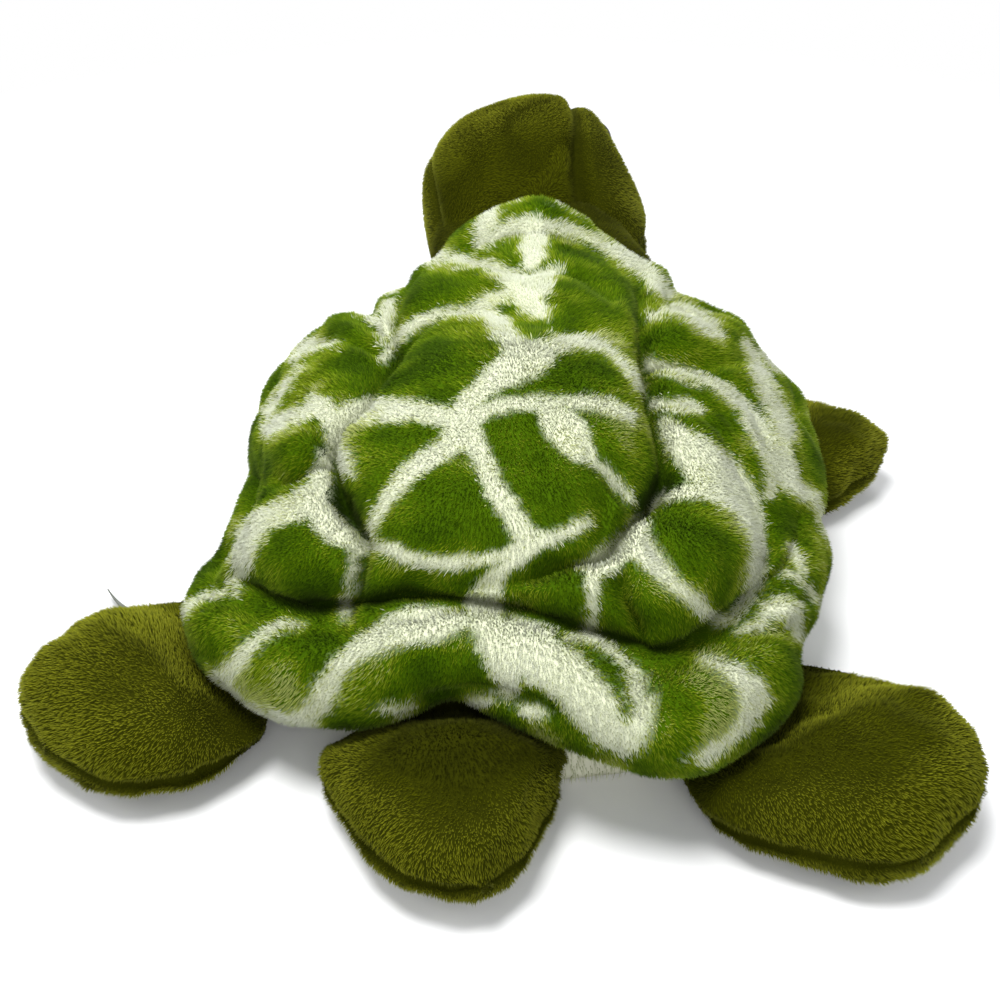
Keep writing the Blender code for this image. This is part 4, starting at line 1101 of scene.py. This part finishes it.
shell_left = split_off(dome, "shell_left", lambda p: p[:, 0] > panel_edge(p, 1))
shell_right = split_off(dome, "shell_right", lambda p: p[:, 0] < panel_edge(p, 2))
dome.name = dome.data.name = "shell_middle"
for piece, node in ((dome, "shell_middle_panel"), (shell_left, "shell_left_panel"),
                    (shell_right, "shell_right_panel"), (rim, "rim_cover")):
    clothe(piece, printed_backing)
    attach(piece, "shell")
    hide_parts(node)


rim_tree = tree_of(rim)


def within(tree, points, depth=0.0005, reach=0.03):
    """Points that lie inside a surface, by its nearest spot."""
    inside = np.zeros(len(points), bool)
    for index, point in enumerate(points):
        point = Vector(point)
        place, normal, _, _ = tree.find_nearest(point, reach)
        inside[index] = place is not None and (point - place).dot(normal) < -depth
    return inside


def in_rim(points, normals):
    """Spots of the dome whose tufts would start inside the stuffed rim."""
    return within(rim_tree, points, -0.0012)


def tree_over(pieces):
    """One search tree over the faces of some pieces."""
    corners, faces = [], []
    for piece in pieces:
        faces += [[index + len(corners) for index in face.vertices]
                  for face in piece.data.polygons]
        corners += [Vector(point) for point in points_of(piece)]
    return BVHTree.FromPolygons(corners, faces)


whole_dome = tree_over((dome, shell_left, shell_right))


def in_body(points, normals):
    """Points of the rim that lie under the dome, or face into the shell."""
    inwards = shell_middle + np.array((0, 0, 0.03)) - points
    inwards[:, 2] = 0
    facing = (unit(inwards) * normals).sum(1) > 0.45
    low = points[:, 2] < rim_at(compass(points))[0][:, 2]
    return within(whole_dome, points, 0.002) | (facing & low)


def backwards(place):
    """The nap of the shell: back towards the tail and down its sides."""
    way = (place - shell_middle) * (1.2, 0.6, 0.0)
    return unit(way) + (0.0, 0.55, -0.25)


for piece, count in ((dome, 48000), (shell_left, 42000), (shell_right, 49000)):
    pile = grow_pile(piece.name + "_pile", "shell", [piece], count, shell_pile, printed_shades,
                     flow=backwards, hidden=in_rim, seed=count)

# %% Pile of the rim, in four lengths
for index, name in enumerate(("front", "left", "back", "right")):
    quarter = (index - 2.5) * math.pi / 2

    def elsewhere(points, normals, quarter=quarter):
        off = (compass(points) - quarter) % math.tau
        return (off > math.pi / 2) | in_body(points, normals)

    pile = grow_pile("rim_pile_" + name, "shell", [rim], 160000, shell_pile, printed_shades,
                     flow=backwards, hidden=elsewhere, seed=80 + index)

# %% [markdown]
# ## Belly and wadding
# The underside is one cream panel, flat where it rests. Every cover is closed over its
# own lump of polyester wadding, which nobody sees, but each is a piece of the real toy.

# %% Belly and wadding of the shell
belly_rows = ((0.00, 0.00, 1.00), (0.22, 0.60, 0.72), (0.42, 1.00, 0.40), (0.56, 1.12, 0.14),
              (0.68, 1.45, 0.02), (0.74, 1.75, 0.00))
belly_pulls = ((565, 735, -6, 36, 40), (615, 740, -4, 14, 40), (660, 738, 0, 2, 36))
belly = primitive(bpy.ops.mesh.primitive_grid_add, "belly", size=1, x_subdivisions=200,
                  y_subdivisions=60)
turn_share, row_share = unit_grid(belly)
foot, _ = rim_at(turn_share * math.tau)
away = foot - shell_middle
away[:, 2] = 0
rows = np.array(belly_rows)
inwards = 0.020 * np.interp(row_share, rows[:, 0], rows[:, 1])
high = foot[:, 2] * np.interp(row_share, rows[:, 0], rows[:, 2])
belly_points = foot - unit(away) * inwards[:, None]
to_middle = np.clip((row_share - 0.74) / 0.26, 0, 1)[:, None]
belly_points = belly_points + (shell_middle - belly_points) * to_middle
belly_points[:, 2] = np.maximum(high, 0.0004)
belly_points = grabbed(belly_points, belly_pulls, upright=False)
move_points(belly, belly_points)
in_edit_mode(belly, merge_doubles, outwards)
finish_shape(belly, smooth=2)
clothe(belly, cream_backing)
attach(belly, "shell")
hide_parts("belly_panel")
pile = grow_pile("belly_pile", "shell", [belly], 26000, cream_pile,
                 lambda place, seen, dice: dice.uniform(0.66, 0.92, len(place)),
                 length=0.005, hidden=in_rim,
                 flow=lambda place: np.tile((0.0, 0.4, -1.0), (len(place), 1)), seed=90)

# %% Wadding of the shell and of the rim
def wad(name, node, body, shape, inset=0.003, size=1.0):
    """A lump of wadding: a copy of a form, drawn in and made fluffy."""
    lump = primitive(bpy.ops.mesh.primitive_uv_sphere_add, name, segments=64, ring_count=40,
                     radius=1)
    points = shape(points_of(lump))
    points = points.mean(0) + (points - points.mean(0)) * size
    move_points(lump, points)
    in_edit_mode(lump, outwards)
    points = points_of(lump) - normals_of(lump) * inset
    move_points(lump, points - normals_of(lump) * 0.0006 * (1 + wave(points, 0.012, 41))[:, None])
    finish_shape(lump)
    clothe(lump, wadding)
    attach(lump, body)
    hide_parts(node)


def body_shape(ball):
    """The dome and the belly as one closed form, from the points of a ball."""
    angles = np.arctan2(ball[:, 1], ball[:, 0])
    height = np.arcsin(np.clip(ball[:, 2], -1, 1)) / (math.pi / 2)
    top = dome_surface(angles, np.clip(height, 0.0, 1.0))
    foot, _ = rim_at(angles)
    away = foot - shell_middle
    away[:, 2] = 0
    down = np.clip(-height, 0, 1)
    low = foot - unit(away) * (0.026 * np.interp(down, (0, 0.3, 0.5, 1), (0, 1, 1.2, 1.6)))[:, None]
    low = low + (shell_middle - low) * np.clip((down - 0.5) * 2, 0, 1)[:, None]
    low[:, 2] = foot[:, 2] * np.interp(down, (0, 0.3, 0.5, 1), (1, 0.4, 0.05, 0.05)) + 0.001
    return np.where(height[:, None] >= 0, top, low)


wad("body_wadding", "body_stuffing", "shell", body_shape, inset=0.004, size=0.76)

rim_wadding = primitive(bpy.ops.mesh.primitive_torus_add, "rim_wadding", major_segments=160,
                        minor_segments=16, major_radius=1.0, minor_radius=0.25)
rim_middle, off_middle, _ = round_the_rim(rim_wadding, lambda sizes: sizes * 0.45)
move_points(rim_wadding, grabbed(rim_middle + off_middle, shell_pulls))
in_edit_mode(rim_wadding, outwards)
finish_shape(rim_wadding)
clothe(rim_wadding, wadding)
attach(rim_wadding, "shell")
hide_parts("rim_stuffing")
print("the rim's wadding has", len(rim_wadding.data.vertices), "points")

# %% [markdown]
# ## The head
# A skull and a muzzle melt into one swelling form. Its cover is a strip over the crown,
# two cheeks and a chin. The head is shaped round its own middle, then lolled to its
# left as the photograph shows, and its seams are pressed in as shallow furrows.

# %% Head
neck = np.array(joints["neck_nod"]["pos_m"])
head_place = (Matrix.Translation(Vector(neck) + Vector((0.014, -0.107, 0.037)))
              @ Matrix.Rotation(math.radians(18.0), 4, "Y"))
jaw_at = -0.034
muzzle_middle = np.array((0.0, -0.056, -0.010))


def head_surface(ways):
    """The head round its own middle, the ways that are given."""
    skull = 1 / np.sqrt((ways / (0.075, 0.078, 0.071)) ** 2 @ np.ones(3))
    muzzle = ellipsoid_reach(ways, muzzle_middle, np.array((0.050, 0.052, 0.046)))
    return ways * (skull * (1 + (muzzle / skull) ** 10) ** 0.1)[:, None]


# %% Head's pulls and seams
head_pulls = ((642, 158, -18, 0, 50), (624, 122, -12, 2, 46), (596, 104, -3, -4, 40),
              (560, 90, 0, 3, 46), (525, 88, 0, 4, 46), (490, 95, 2, 4, 46), (455, 112, -2, 4, 46),
              (428, 146, -6, 0, 46), (416, 190, 3, 0, 46), (646, 192, -4, 0, 46),
              (640, 226, 26, 2, 40), (654, 246, 26, 24, 36), (545, 205, 0, 26, 60),
              (430, 240, 6, 24, 34), (590, 215, 2, 26, 40), (480, 215, 0, 26, 40))


def furrow(distance, width=0.0035):
    return bell(distance, width)


def seam_half(own):
    """Half the crown strip's width: it is widest behind the eyes and tapers to the snout."""
    return np.maximum(0.0545 - 3.5 * (own[:, 1] - 0.022) ** 2, 0.020)


print(len(head_pulls), "pulls round the head")

# %% The head's four panels
head = primitive(bpy.ops.mesh.primitive_uv_sphere_add, "head_crown", segments=160, ring_count=96,
                 radius=1, rotation=(math.pi / 2, 0, 0))
bpy.ops.object.transform_apply(rotation=True)
skin = head_surface(unit(points_of(head)))
move_points(head, skin)
in_edit_mode(head, outwards)
sides = normals_of(head)
above_jaw = skin[:, 2] > jaw_at
seams = np.maximum(furrow(np.abs(skin[:, 0]) - seam_half(skin), 0.0050) * above_jaw,
                   furrow(skin[:, 2] - jaw_at))
mouth_at = -0.017 + 2.2 * (skin[:, 0] ** 2)
mouth = furrow(skin[:, 2] - mouth_at, 0.0022) * (skin[:, 1] < -0.072)
skin = skin - sides * (0.0022 + 0.0062 * seams + 0.004 * mouth
                       + 0.0006 * wave(skin, 0.05, 42))[:, None]
move_points(head, grabbed(place_by(head_place, skin), head_pulls))
# The seams and the mouth are kept as creases: shorter tufts there, and a painted shade in the
# furrows.
note(head, "crease", np.clip(seams ** 2 + mouth, 0, 1) * 0.9)
head_tree = tree_of(head)
head_back = np.linalg.inv(np.array(head_place))


def in_head(points):
    """Points in the head's own frame."""
    return place_by(head_back, points)


finish_shape(head)
head_chin = split_off(head, "head_chin", lambda p: in_head(p)[:, 2] < jaw_at)
left_cheek = split_off(head, "head_left_cheek",
                       lambda p: in_head(p)[:, 0] > seam_half(in_head(p)))
right_cheek = split_off(head, "head_right_cheek",
                        lambda p: in_head(p)[:, 0] < -seam_half(in_head(p)))
head_pieces = {"head_crown_panel": head, "head_chin_panel": head_chin,
               "head_left_panel": left_cheek, "head_right_panel": right_cheek}
for node, piece in head_pieces.items():
    clothe(piece, olive_backing)
    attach(piece, "head")
    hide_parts(node)
wad("head_wadding", "head_stuffing", "head",
    lambda ball: grabbed(place_by(head_place, head_surface(unit(ball))), head_pulls), size=0.84)
print(len(head_pieces), "panels on the head")

# %% Eyes
eye_places = {}
for side, sign in (("left", 1.0), ("right", -1.0)):
    aside, rise = math.radians(54.0), math.radians(12.0)
    way = np.array(((sign * math.sin(aside) * math.cos(rise), -math.cos(aside) * math.cos(rise),
                     math.sin(rise)),))
    pulled = grabbed(place_by(head_place, head_surface(way)), head_pulls)[0]
    pulled, normal, _, _ = head_tree.find_nearest(Vector(pulled))
    seat = Matrix.Translation(pulled) @ normal.to_track_quat("Z", "Y").to_matrix().to_4x4()
    eye_places[side] = np.array(pulled)
    ball = primitive(bpy.ops.mesh.primitive_uv_sphere_add, "button_eye_" + side, segments=48,
                     ring_count=24, radius=1)
    bead = points_of(ball)
    bead[:, :2] *= 0.0085
    bead[:, 2] *= np.where(bead[:, 2] > 0, 0.0046, 0.0030)
    move_points(ball, place_by(seat, bead))
    finish_shape(ball)
    clothe(ball, button)
    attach(ball, "head")
    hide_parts("eye_" + side)
    disc = primitive(bpy.ops.mesh.primitive_torus_add, "back_washer_" + side, major_segments=40,
                     minor_segments=12, major_radius=0.0048, minor_radius=0.0026)
    ring = points_of(disc) * (1, 1, 0.35) - (0, 0, 0.0062)
    move_points(disc, place_by(seat, ring))
    finish_shape(disc)
    clothe(disc, washer)
    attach(disc, "head")
    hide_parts("eye_washer_" + side)
print("eyes at", {side: np.round(spot, 3).tolist() for side, spot in eye_places.items()})

# %% Pile of the head
def near_seams(place):
    """Tufts are caught short along the head's seams, round its eyes and in its mouth."""
    own = in_head(place)
    seam = np.maximum(furrow(np.abs(own[:, 0]) - seam_half(own), 0.003) * (own[:, 2] > jaw_at),
                      furrow(own[:, 2] - jaw_at, 0.003))
    lips = furrow(own[:, 2] + 0.017 - 2.2 * own[:, 0] ** 2, 0.003) * (own[:, 1] < -0.072)
    share = 1 - 0.5 * seam - 0.6 * lips
    for middle in eye_places.values():
        share *= 0.35 + 0.65 * smooth_step(0.008, 0.014, np.linalg.norm(place - middle, axis=1))
    return share


def not_on_eyes(place, normal):
    covered = [np.linalg.norm(place - middle, axis=1) < 0.0088 for middle in eye_places.values()]
    return covered[0] | covered[1]


def head_tone_and_painted_light(place, seen, dice):
    """The olive's random tone, with a painted shade darkest where the head faces back and up, and a
    painted sheen round the sides and the brow.
    """
    way = unit(in_head(place)) @ unit(np.array(((0.05, 0.93, 0.36),)))[0]
    return olive_shades(place, seen, dice) + 0.48 - 0.48 * smooth_step(0.15, 0.90, way)


def back_over_head(place):
    own = in_head(place)
    way = np.stack([own[:, 0] * 2, 0.09 + own[:, 1] * 0.3, own[:, 2] * 0.6 - 0.02], 1)
    return way @ np.array(head_place)[:3, :3].T


for name, pieces, count in (("head_pile_top", [head], 42000), ("head_pile_sides",
                            [left_cheek, right_cheek, head_chin], 32000)):
    pile = grow_pile(name, "head", pieces, count, olive_pile, head_tone_and_painted_light, length=0.0028,
                     lean=50.0, swirl=0.10, flow=back_over_head, hidden=not_on_eyes,
                     shorter=near_seams, seed=count)

# %% [markdown]
# ## The neck
# The nape is a wide sleeve of plush between the shell and the head. It lies under the
# shell's hem and crosses the joint that turns the head, as one continuous piece.

# %% Neck sleeve
sleeve_rows = even_curve((   # y, then the section's middle x, half width, middle z, half height
    (-0.268, 0.034, 0.066, 0.077, 0.044), (-0.235, 0.024, 0.067, 0.076, 0.047),
    (-0.200, 0.009, 0.070, 0.076, 0.046), (-0.170, 0.003, 0.070, 0.074, 0.047),
    (-0.140, -0.001, 0.066, 0.066, 0.046)))
sleeve = primitive(bpy.ops.mesh.primitive_grid_add, "neck_sleeve", size=1, x_subdivisions=112,
                   y_subdivisions=40)
turn_share, row_share = unit_grid(sleeve)
y = -0.268 + 0.128 * row_share
x, wide, z, tall = (np.interp(y, sleeve_rows[0], column) for column in sleeve_rows[1:])
angle = turn_share * math.tau
sleeve_points = np.stack([x + wide * np.cos(angle), y, z + tall * np.sin(angle)], 1)
sleeve_points[:, 2] = np.maximum(sleeve_points[:, 2], 0.004)
move_points(sleeve, sleeve_points)
in_edit_mode(sleeve, merge_doubles, outwards)
tube = points_of(sleeve)
facing = (normals_of(sleeve) * (tube - np.array((0.012, 0, 0.06))) * (1, 0, 1)).sum()
if facing < 0:   # an open tube has no inside that Blender could know
    in_edit_mode(sleeve, bpy.ops.mesh.flip_normals)
move_points(sleeve, tube + normals_of(sleeve) * (0.0010 * wave(tube, 0.03, 44))[:, None])
finish_shape(sleeve, smooth=2)
clothe(sleeve, olive_backing)
# The neck's tufts are painted darker than the olive: a painted shade under the shell's hem.
neck_pile = grow_pile("neck_pile", None, [sleeve], 26000, olive_pile,
                      lambda *spot: olive_shades(*spot) - 0.22, length=0.0029,
                      lean=50.0, swirl=0.15, hidden=lambda place, normal: place[:, 1] > -0.158,
                      flow=lambda place: np.tile((0.0, 1.0, -0.2), (len(place), 1)), seed=95)
for piece in (sleeve, neck_pile):
    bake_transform(piece)
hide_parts("neck_cover")
neck_fill_middle = neck + (-0.014, 0.0, 0.016)
wad("neck_wadding", "neck_stuffing", "neck",
    lambda ball: neck_fill_middle + unit(ball) * (0.052, 0.036, 0.036), inset=0.002)

# %% [markdown]
# ## Flippers and tail
# Each is a flat leaf of two panels, stuffed fullest past its middle and sewn flat at
# its root. A ball with its poles at the root and the tip is drawn out to that outline,
# then bent sideways and laid on the floor. The seam runs round the edge as a furrow.

# %% Limbs
flipper_rows = ((0.00, 0.48, 0.00), (0.10, 0.54, 0.06), (0.25, 0.72, 0.14), (0.42, 0.94, 0.52),
                (0.58, 1.03, 1.00), (0.74, 1.00, 0.98), (0.88, 0.83, 0.80), (0.96, 0.56, 0.56),
                (1.00, 0.0, 0.0))
tail_rows = ((0.00, 0.42, 0.00), (0.12, 0.62, 0.10), (0.28, 0.96, 0.40), (0.42, 1.03, 0.84),
             (0.56, 0.96, 1.00), (0.70, 0.82, 0.94), (0.84, 0.60, 0.78), (0.94, 0.38, 0.55),
             (1.00, 0.0, 0.0))
limbs = {   # rows, length, width, rise, sideways bend in degrees, tufts, then the pulls
    "front_left_flipper": (flipper_rows, 0.103, 0.100, 0.030, -70.0, 15000, (
        (300, 345, 26, 14, 55),)),
    "front_right_flipper": (flipper_rows, 0.103, 0.100, 0.030, -72.0, 16000, (
        (838, 394, 0, 12, 30), (875, 403, -10, 18, 34), (904, 441, -18, 10, 36),
        (898, 470, -12, 4, 30), (878, 500, -6, 0, 24))),
    "rear_left_flipper": (flipper_rows, 0.139, 0.134, 0.033, 28.0, 31000, (
        (176, 608, 0, -10, 40), (126, 606, 0, -2, 40), (62, 612, 8, 18, 46), (25, 640, 27, 20, 46),
        (0, 690, 29, 6, 46), (20, 735, 6, 4, 40), (42, 765, -8, 6, 30), (81, 778, 0, 8, 40),
        (250, 736, 16, 0, 28))),
    "rear_right_flipper": (flipper_rows, 0.141, 0.138, 0.033, -42.0, 34000, (
        (844, 661, 0, 2, 30), (906, 670, 0, 12, 44), (956, 694, -12, 14, 44),
        (990, 745, -20, 12, 46), (1000, 800, -26, 8, 46), (975, 831, -16, 14, 44),
        (925, 853, -4, 22, 46), (875, 864, 0, 18, 46), (800, 866, -8, -2, 44),
        (756, 847, -10, -8, 44), (725, 806, -28, -4, 46), (714, 778, -44, -6, 44))),
    "tail": (tail_rows, 0.132, 0.120, 0.031, 32.0, 27000, (
        (584, 790, -20, 0, 40), (578, 812, -22, 0, 40), (550, 856, -20, -2, 38),
        (531, 875, -14, 0, 34), (500, 899, -10, 4, 30), (462, 900, 0, 3, 30),
        (400, 878, -2, 4, 34), (332, 748, -18, -3, 34), (330, 790, -6, 0, 30))),
}
root_lifts = {"tail": ((395, 730, 0, -12, 34), (435, 724, 0, -18, 38), (485, 724, 0, -16, 36),
                       (528, 736, 0, -8, 30))}
# Painted shading for each limb as a whole: darker for all but the rear left flipper, which is painted
# lighter.
painted_limb_shading = {"tail": -0.38, "rear_right_flipper": -0.18, "rear_left_flipper": 0.10,
             "front_right_flipper": -0.24, "front_left_flipper": -0.14}
root_radius, fold_height, limb_lean = 0.0065, 0.013, 6.0
print(len(limbs), "limbs")

# %% The leaf of a limb
def limb_frame(name):
    """The limb's own frame: +X out of the shell, sloping up, with its fold at zero."""
    joint = joints[name + "_fold"]
    axis = joint["axis"]
    turn = Matrix.Rotation(math.atan2(-axis[0], axis[1]), 4, "Z")
    tip_up = Matrix.Rotation(math.radians(-limb_lean), 4, "Y")
    return Matrix.Translation(joint["pos_m"]) @ turn @ tip_up


def limb_shape(ball, rows, length, width, rise, bend, slim=1.0):
    """A leaf from the points of a ball whose poles lie along X."""
    share, wide, tall = even_curve(rows, window=14)
    reach = length + root_radius
    x = reach * (1 + ball[:, 0]) / 2 - root_radius
    wide = np.interp(x / length, share, wide) * width / 2
    tall = np.interp(x / length, share, tall)
    slope = 0.58 * length * math.sin(math.radians(limb_lean))
    angle = np.arctan2(ball[:, 2], ball[:, 1])
    full = np.where(ball[:, 2] > 0, rise, fold_height + slope - 0.001)
    least = np.where(x < 0.3 * length, root_radius, 0.0)
    tall = np.maximum(tall * full, least)
    closing = np.sqrt(np.clip(1 - (np.minimum(x, 0) / root_radius) ** 2, 0, 1))
    tip = np.sqrt(np.clip((length - x) / (0.06 * length), 0, 1))
    plump = smooth_step(0.25, 0.6, x / length) * 0.30
    y = wide * np.sign(np.cos(angle)) * np.abs(np.cos(angle)) ** (1 - plump)
    z = tall * np.sin(angle)
    y *= (0.5 + 0.5 * closing) * tip * slim
    z *= closing * tip * slim
    y *= 1 - 0.045 * np.exp(-(np.sin(angle) / 0.13) ** 2)
    turn = np.maximum(x, 0) * math.radians(bend) / length
    radius = length / math.radians(bend)
    bent_x = np.where(x > 0, (radius - y) * np.sin(turn), x)
    bent_y = np.where(x > 0, radius - (radius - y) * np.cos(turn), y)
    return np.stack([bent_x, bent_y, z], 1)


print("the tail's fold is at", np.round(limb_frame("tail").translation, 3))

# %% Make the limbs
for name, (rows, length, width, rise, bend, tufts, pulls) in limbs.items():
    place = limb_frame(name)
    place_back = np.linalg.inv(np.array(place))
    body = joints[name + "_fold"]["child"]
    upper = primitive(bpy.ops.mesh.primitive_uv_sphere_add, name + "_upper", segments=128,
                      ring_count=72, radius=1, rotation=(0, math.pi / 2, 0))
    bpy.ops.object.transform_apply(rotation=True)
    ball = points_of(upper)
    leaf = place_by(place, limb_shape(ball, rows, length, width, rise, bend))
    leaf = grabbed(grabbed(leaf, root_lifts.get(name, ())), pulls, upright=False)
    leaf[:, 2] = np.maximum(leaf[:, 2], 0.0008)
    move_points(upper, leaf)
    in_edit_mode(upper, outwards)
    leaf = points_of(upper)
    seam = furrow(np.abs(leaf @ place_back[2, :3] + place_back[2, 3]), 0.0028)
    dents = 0.0014 + 0.0010 * wave(leaf, 0.035, 45) + 0.0005 * wave(leaf, 0.012, 46) + 0.0022 * seam
    leaf = leaf - normals_of(upper) * dents[:, None]
    # The hem seam is kept as a crease: shorter tufts there, and a painted shade in the furrow.
    note(upper, "crease", 0.8 * seam)
    leaf[:, 2] = np.maximum(leaf[:, 2], 0.0008)
    move_points(upper, leaf)
    finish_shape(upper, smooth=1)

    def under_seam(p, place_back=place_back):
        return p @ place_back[2, :3] + place_back[2, 3] < 0

    def caught_short(p, under_seam=under_seam, place_back=place_back):
        height = np.abs(p @ place_back[2, :3] + place_back[2, 3])
        return 1 - 0.45 * furrow(height, 0.0024)

    def tipwards(p, place=place):
        way = p - np.array(place)[:3, 3]
        return unit(way) + (0, 0, -0.1)

    def limb_tone_and_painted_light(p, seen, dice, place_back=place_back, lift=painted_limb_shading[name], full=rise,
                    reach=length):
        """The olive's random tone, with a painted shade over each limb, darkest on top, and a painted
        highlight along its edges past the root.
        """
        own = place_by(place_back, p)
        edge = 1 - smooth_step(0.50, 1.05, np.abs(own[:, 2]) / full)
        edge *= smooth_step(0.25, 0.60, own[:, 0] / reach)
        return olive_shades(p, seen, dice) + lift + 1.05 * edge

    lower = split_off(upper, name + "_lower", under_seam)
    for piece, node in ((upper, name + "_upper_panel"), (lower, name + "_lower_panel")):
        clothe(piece, olive_backing)
        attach(piece, body)
        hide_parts(node)
    pile = grow_pile(name + "_pile", body, [upper, lower], tufts, olive_pile,
                     limb_tone_and_painted_light, length=0.0031, lean=48.0, swirl=0.25, flow=tipwards,
                     shorter=caught_short, seed=tufts + len(name))
    wad(name + "_wadding", name + "_stuffing", body,
        lambda ball: grabbed(place_by(place, limb_shape(
            ball[:, (2, 1, 0)] * (0.60, 1, -1) + (0.22, 0, 0), rows, length, width, rise, bend,
            slim=0.84 * np.sqrt(np.clip(1 - ball[:, 2] ** 2, 0, 1)) ** 0.7)), pulls, False),
        inset=0.001)

# %% [markdown]
# ## The blank label
# A folded satin ribbon is sewn into the left side's seam. It is a single strip with a
# thickness, hanging in a curve to the floor, and it is left blank.

# %% Label
label = primitive(bpy.ops.mesh.primitive_grid_add, "side_ribbon", size=1, x_subdivisions=60,
                  y_subdivisions=16)
node = frame["nodes"]["side_label"]
tag = np.array([v.co for v in node.data.vertices])
start = tag[np.abs(tag[:, 2] - tag[:, 2].max()) < 0.0015].mean(0)
start = np.array((start[0] + 0.002, start[1] + 0.022, 0.018))
middle, end = np.array((0.182, 0.068, 0.005)), np.array((0.2225, 0.0555, 0.0130))
part, across = unit_grid(label)
first, second = (1 - part)[:, None], part[:, None]
handle = 2 * middle - (start + end) / 2   # so that the curve passes through the middle
line = start * first ** 2 + handle * 2 * first * second + end * second ** 2
run = unit((end - start) * (1, 1, 0))
flat_way = np.array((-run[1], run[0], 0.0))
edge_way = np.array((-0.33, 0.71, 0.61))
width_way = unit(flat_way[None] * (1 - part)[:, None] + edge_way[None] * part[:, None])
line += width_way * ((across - 0.5) * 0.0250)[:, None]
line[:, 2] = np.maximum(line[:, 2], 0.0012)
move_points(label, line)
thick = label.modifiers.new("thickness", "SOLIDIFY")
thick.thickness = 0.0006
thick.offset = 0
bpy.ops.object.modifier_apply(modifier=thick.name)
finish_shape(label)
clothe(label, shaded_satin)
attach(label, "shell")
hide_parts("side_label")

# %% [markdown]
# ## Floor and light
# A pale floor, white where the camera sees it, and broad soft lamps like a studio's:
# one big key above and behind the camera, a fill on each side, and a pale surround.

# %% Stage
floor = primitive(bpy.ops.mesh.primitive_plane_add, "floor", size=8)
made = Finish("floor_white", 0.9, Specular_IOR_Level=0.0)
floor_shade = made.mix(made.noise(2.0), colour(240, 240, 240), colour(243, 243, 243))
floor.data.materials.append(made.paint(floor_shade))
far = made.node("VectorMath", Vector=made.node("TexCoord").outputs["Object"])
far.operation = "LENGTH"
faded = made.ramp(far.outputs["Value"], (0.45, grey(0.0)), (0.85, grey(1.0)))
camera_ray = made.node("LightPath").outputs["Is Camera Ray"]
glow = made.node("Emission", Color=(1, 1, 1, 1), Strength=1.0)
share = made.node("Math")
share.operation = "MULTIPLY"
made.feed(share.inputs[0], faded)
made.feed(share.inputs[1], camera_ray)
either = made.node("MixShader", Fac=share.outputs[0])
made.feed(either.inputs[1], made.shader.outputs[0])
made.feed(either.inputs[2], glow.outputs[0])
made.feed(made.tree.nodes["Material Output"].inputs["Surface"], either.outputs[0])


def lamp(name, place, size, power):
    light = bpy.data.lights.new(name, "AREA")
    light.shape = "DISK"
    light.size = size
    light.energy = power
    made = bpy.data.objects.new(name, light)
    bpy.context.scene.collection.objects.link(made)
    made.location = place
    made.rotation_euler = (Vector((0, 0, 0.05)) - Vector(place)).to_track_quat("-Z", "Y").to_euler()


lamp("key", (0.30, 0.20, 1.78), 0.8, 34)
lamp("camera_side", (-0.3, 1.5, 1.0), 0.9, 8)
lamp("fill_left", (1.5, 0.3, 0.8), 0.8, 7)
lamp("fill_right", (-1.5, 0.1, 0.8), 0.8, 5)
lamp("front", (0.2, -1.5, 1.1), 0.9, 9)
print(len(bpy.data.lights), "lamps")

# %% The surround
world = bpy.data.worlds.new("surround")
bpy.context.scene.world = world
world.use_nodes = True
nodes, links = world.node_tree.nodes, world.node_tree.links
background = nodes["Background"]
path = nodes.new("ShaderNodeLightPath")
white = nodes.new("ShaderNodeBackground")
white.inputs["Strength"].default_value = 1.0
white.inputs["Color"].default_value = (1, 1, 1, 1)
background.inputs["Color"].default_value = (0.92, 0.95, 1.0, 1)
background.inputs["Strength"].default_value = 0.42
either = nodes.new("ShaderNodeMixShader")
links.new(path.outputs["Is Camera Ray"], either.inputs["Fac"])
links.new(background.outputs["Background"], either.inputs[1])
links.new(white.outputs["Background"], either.inputs[2])
links.new(either.outputs["Shader"], nodes["World Output"].inputs["Surface"])
bpy.context.scene.view_settings.view_transform = "Standard"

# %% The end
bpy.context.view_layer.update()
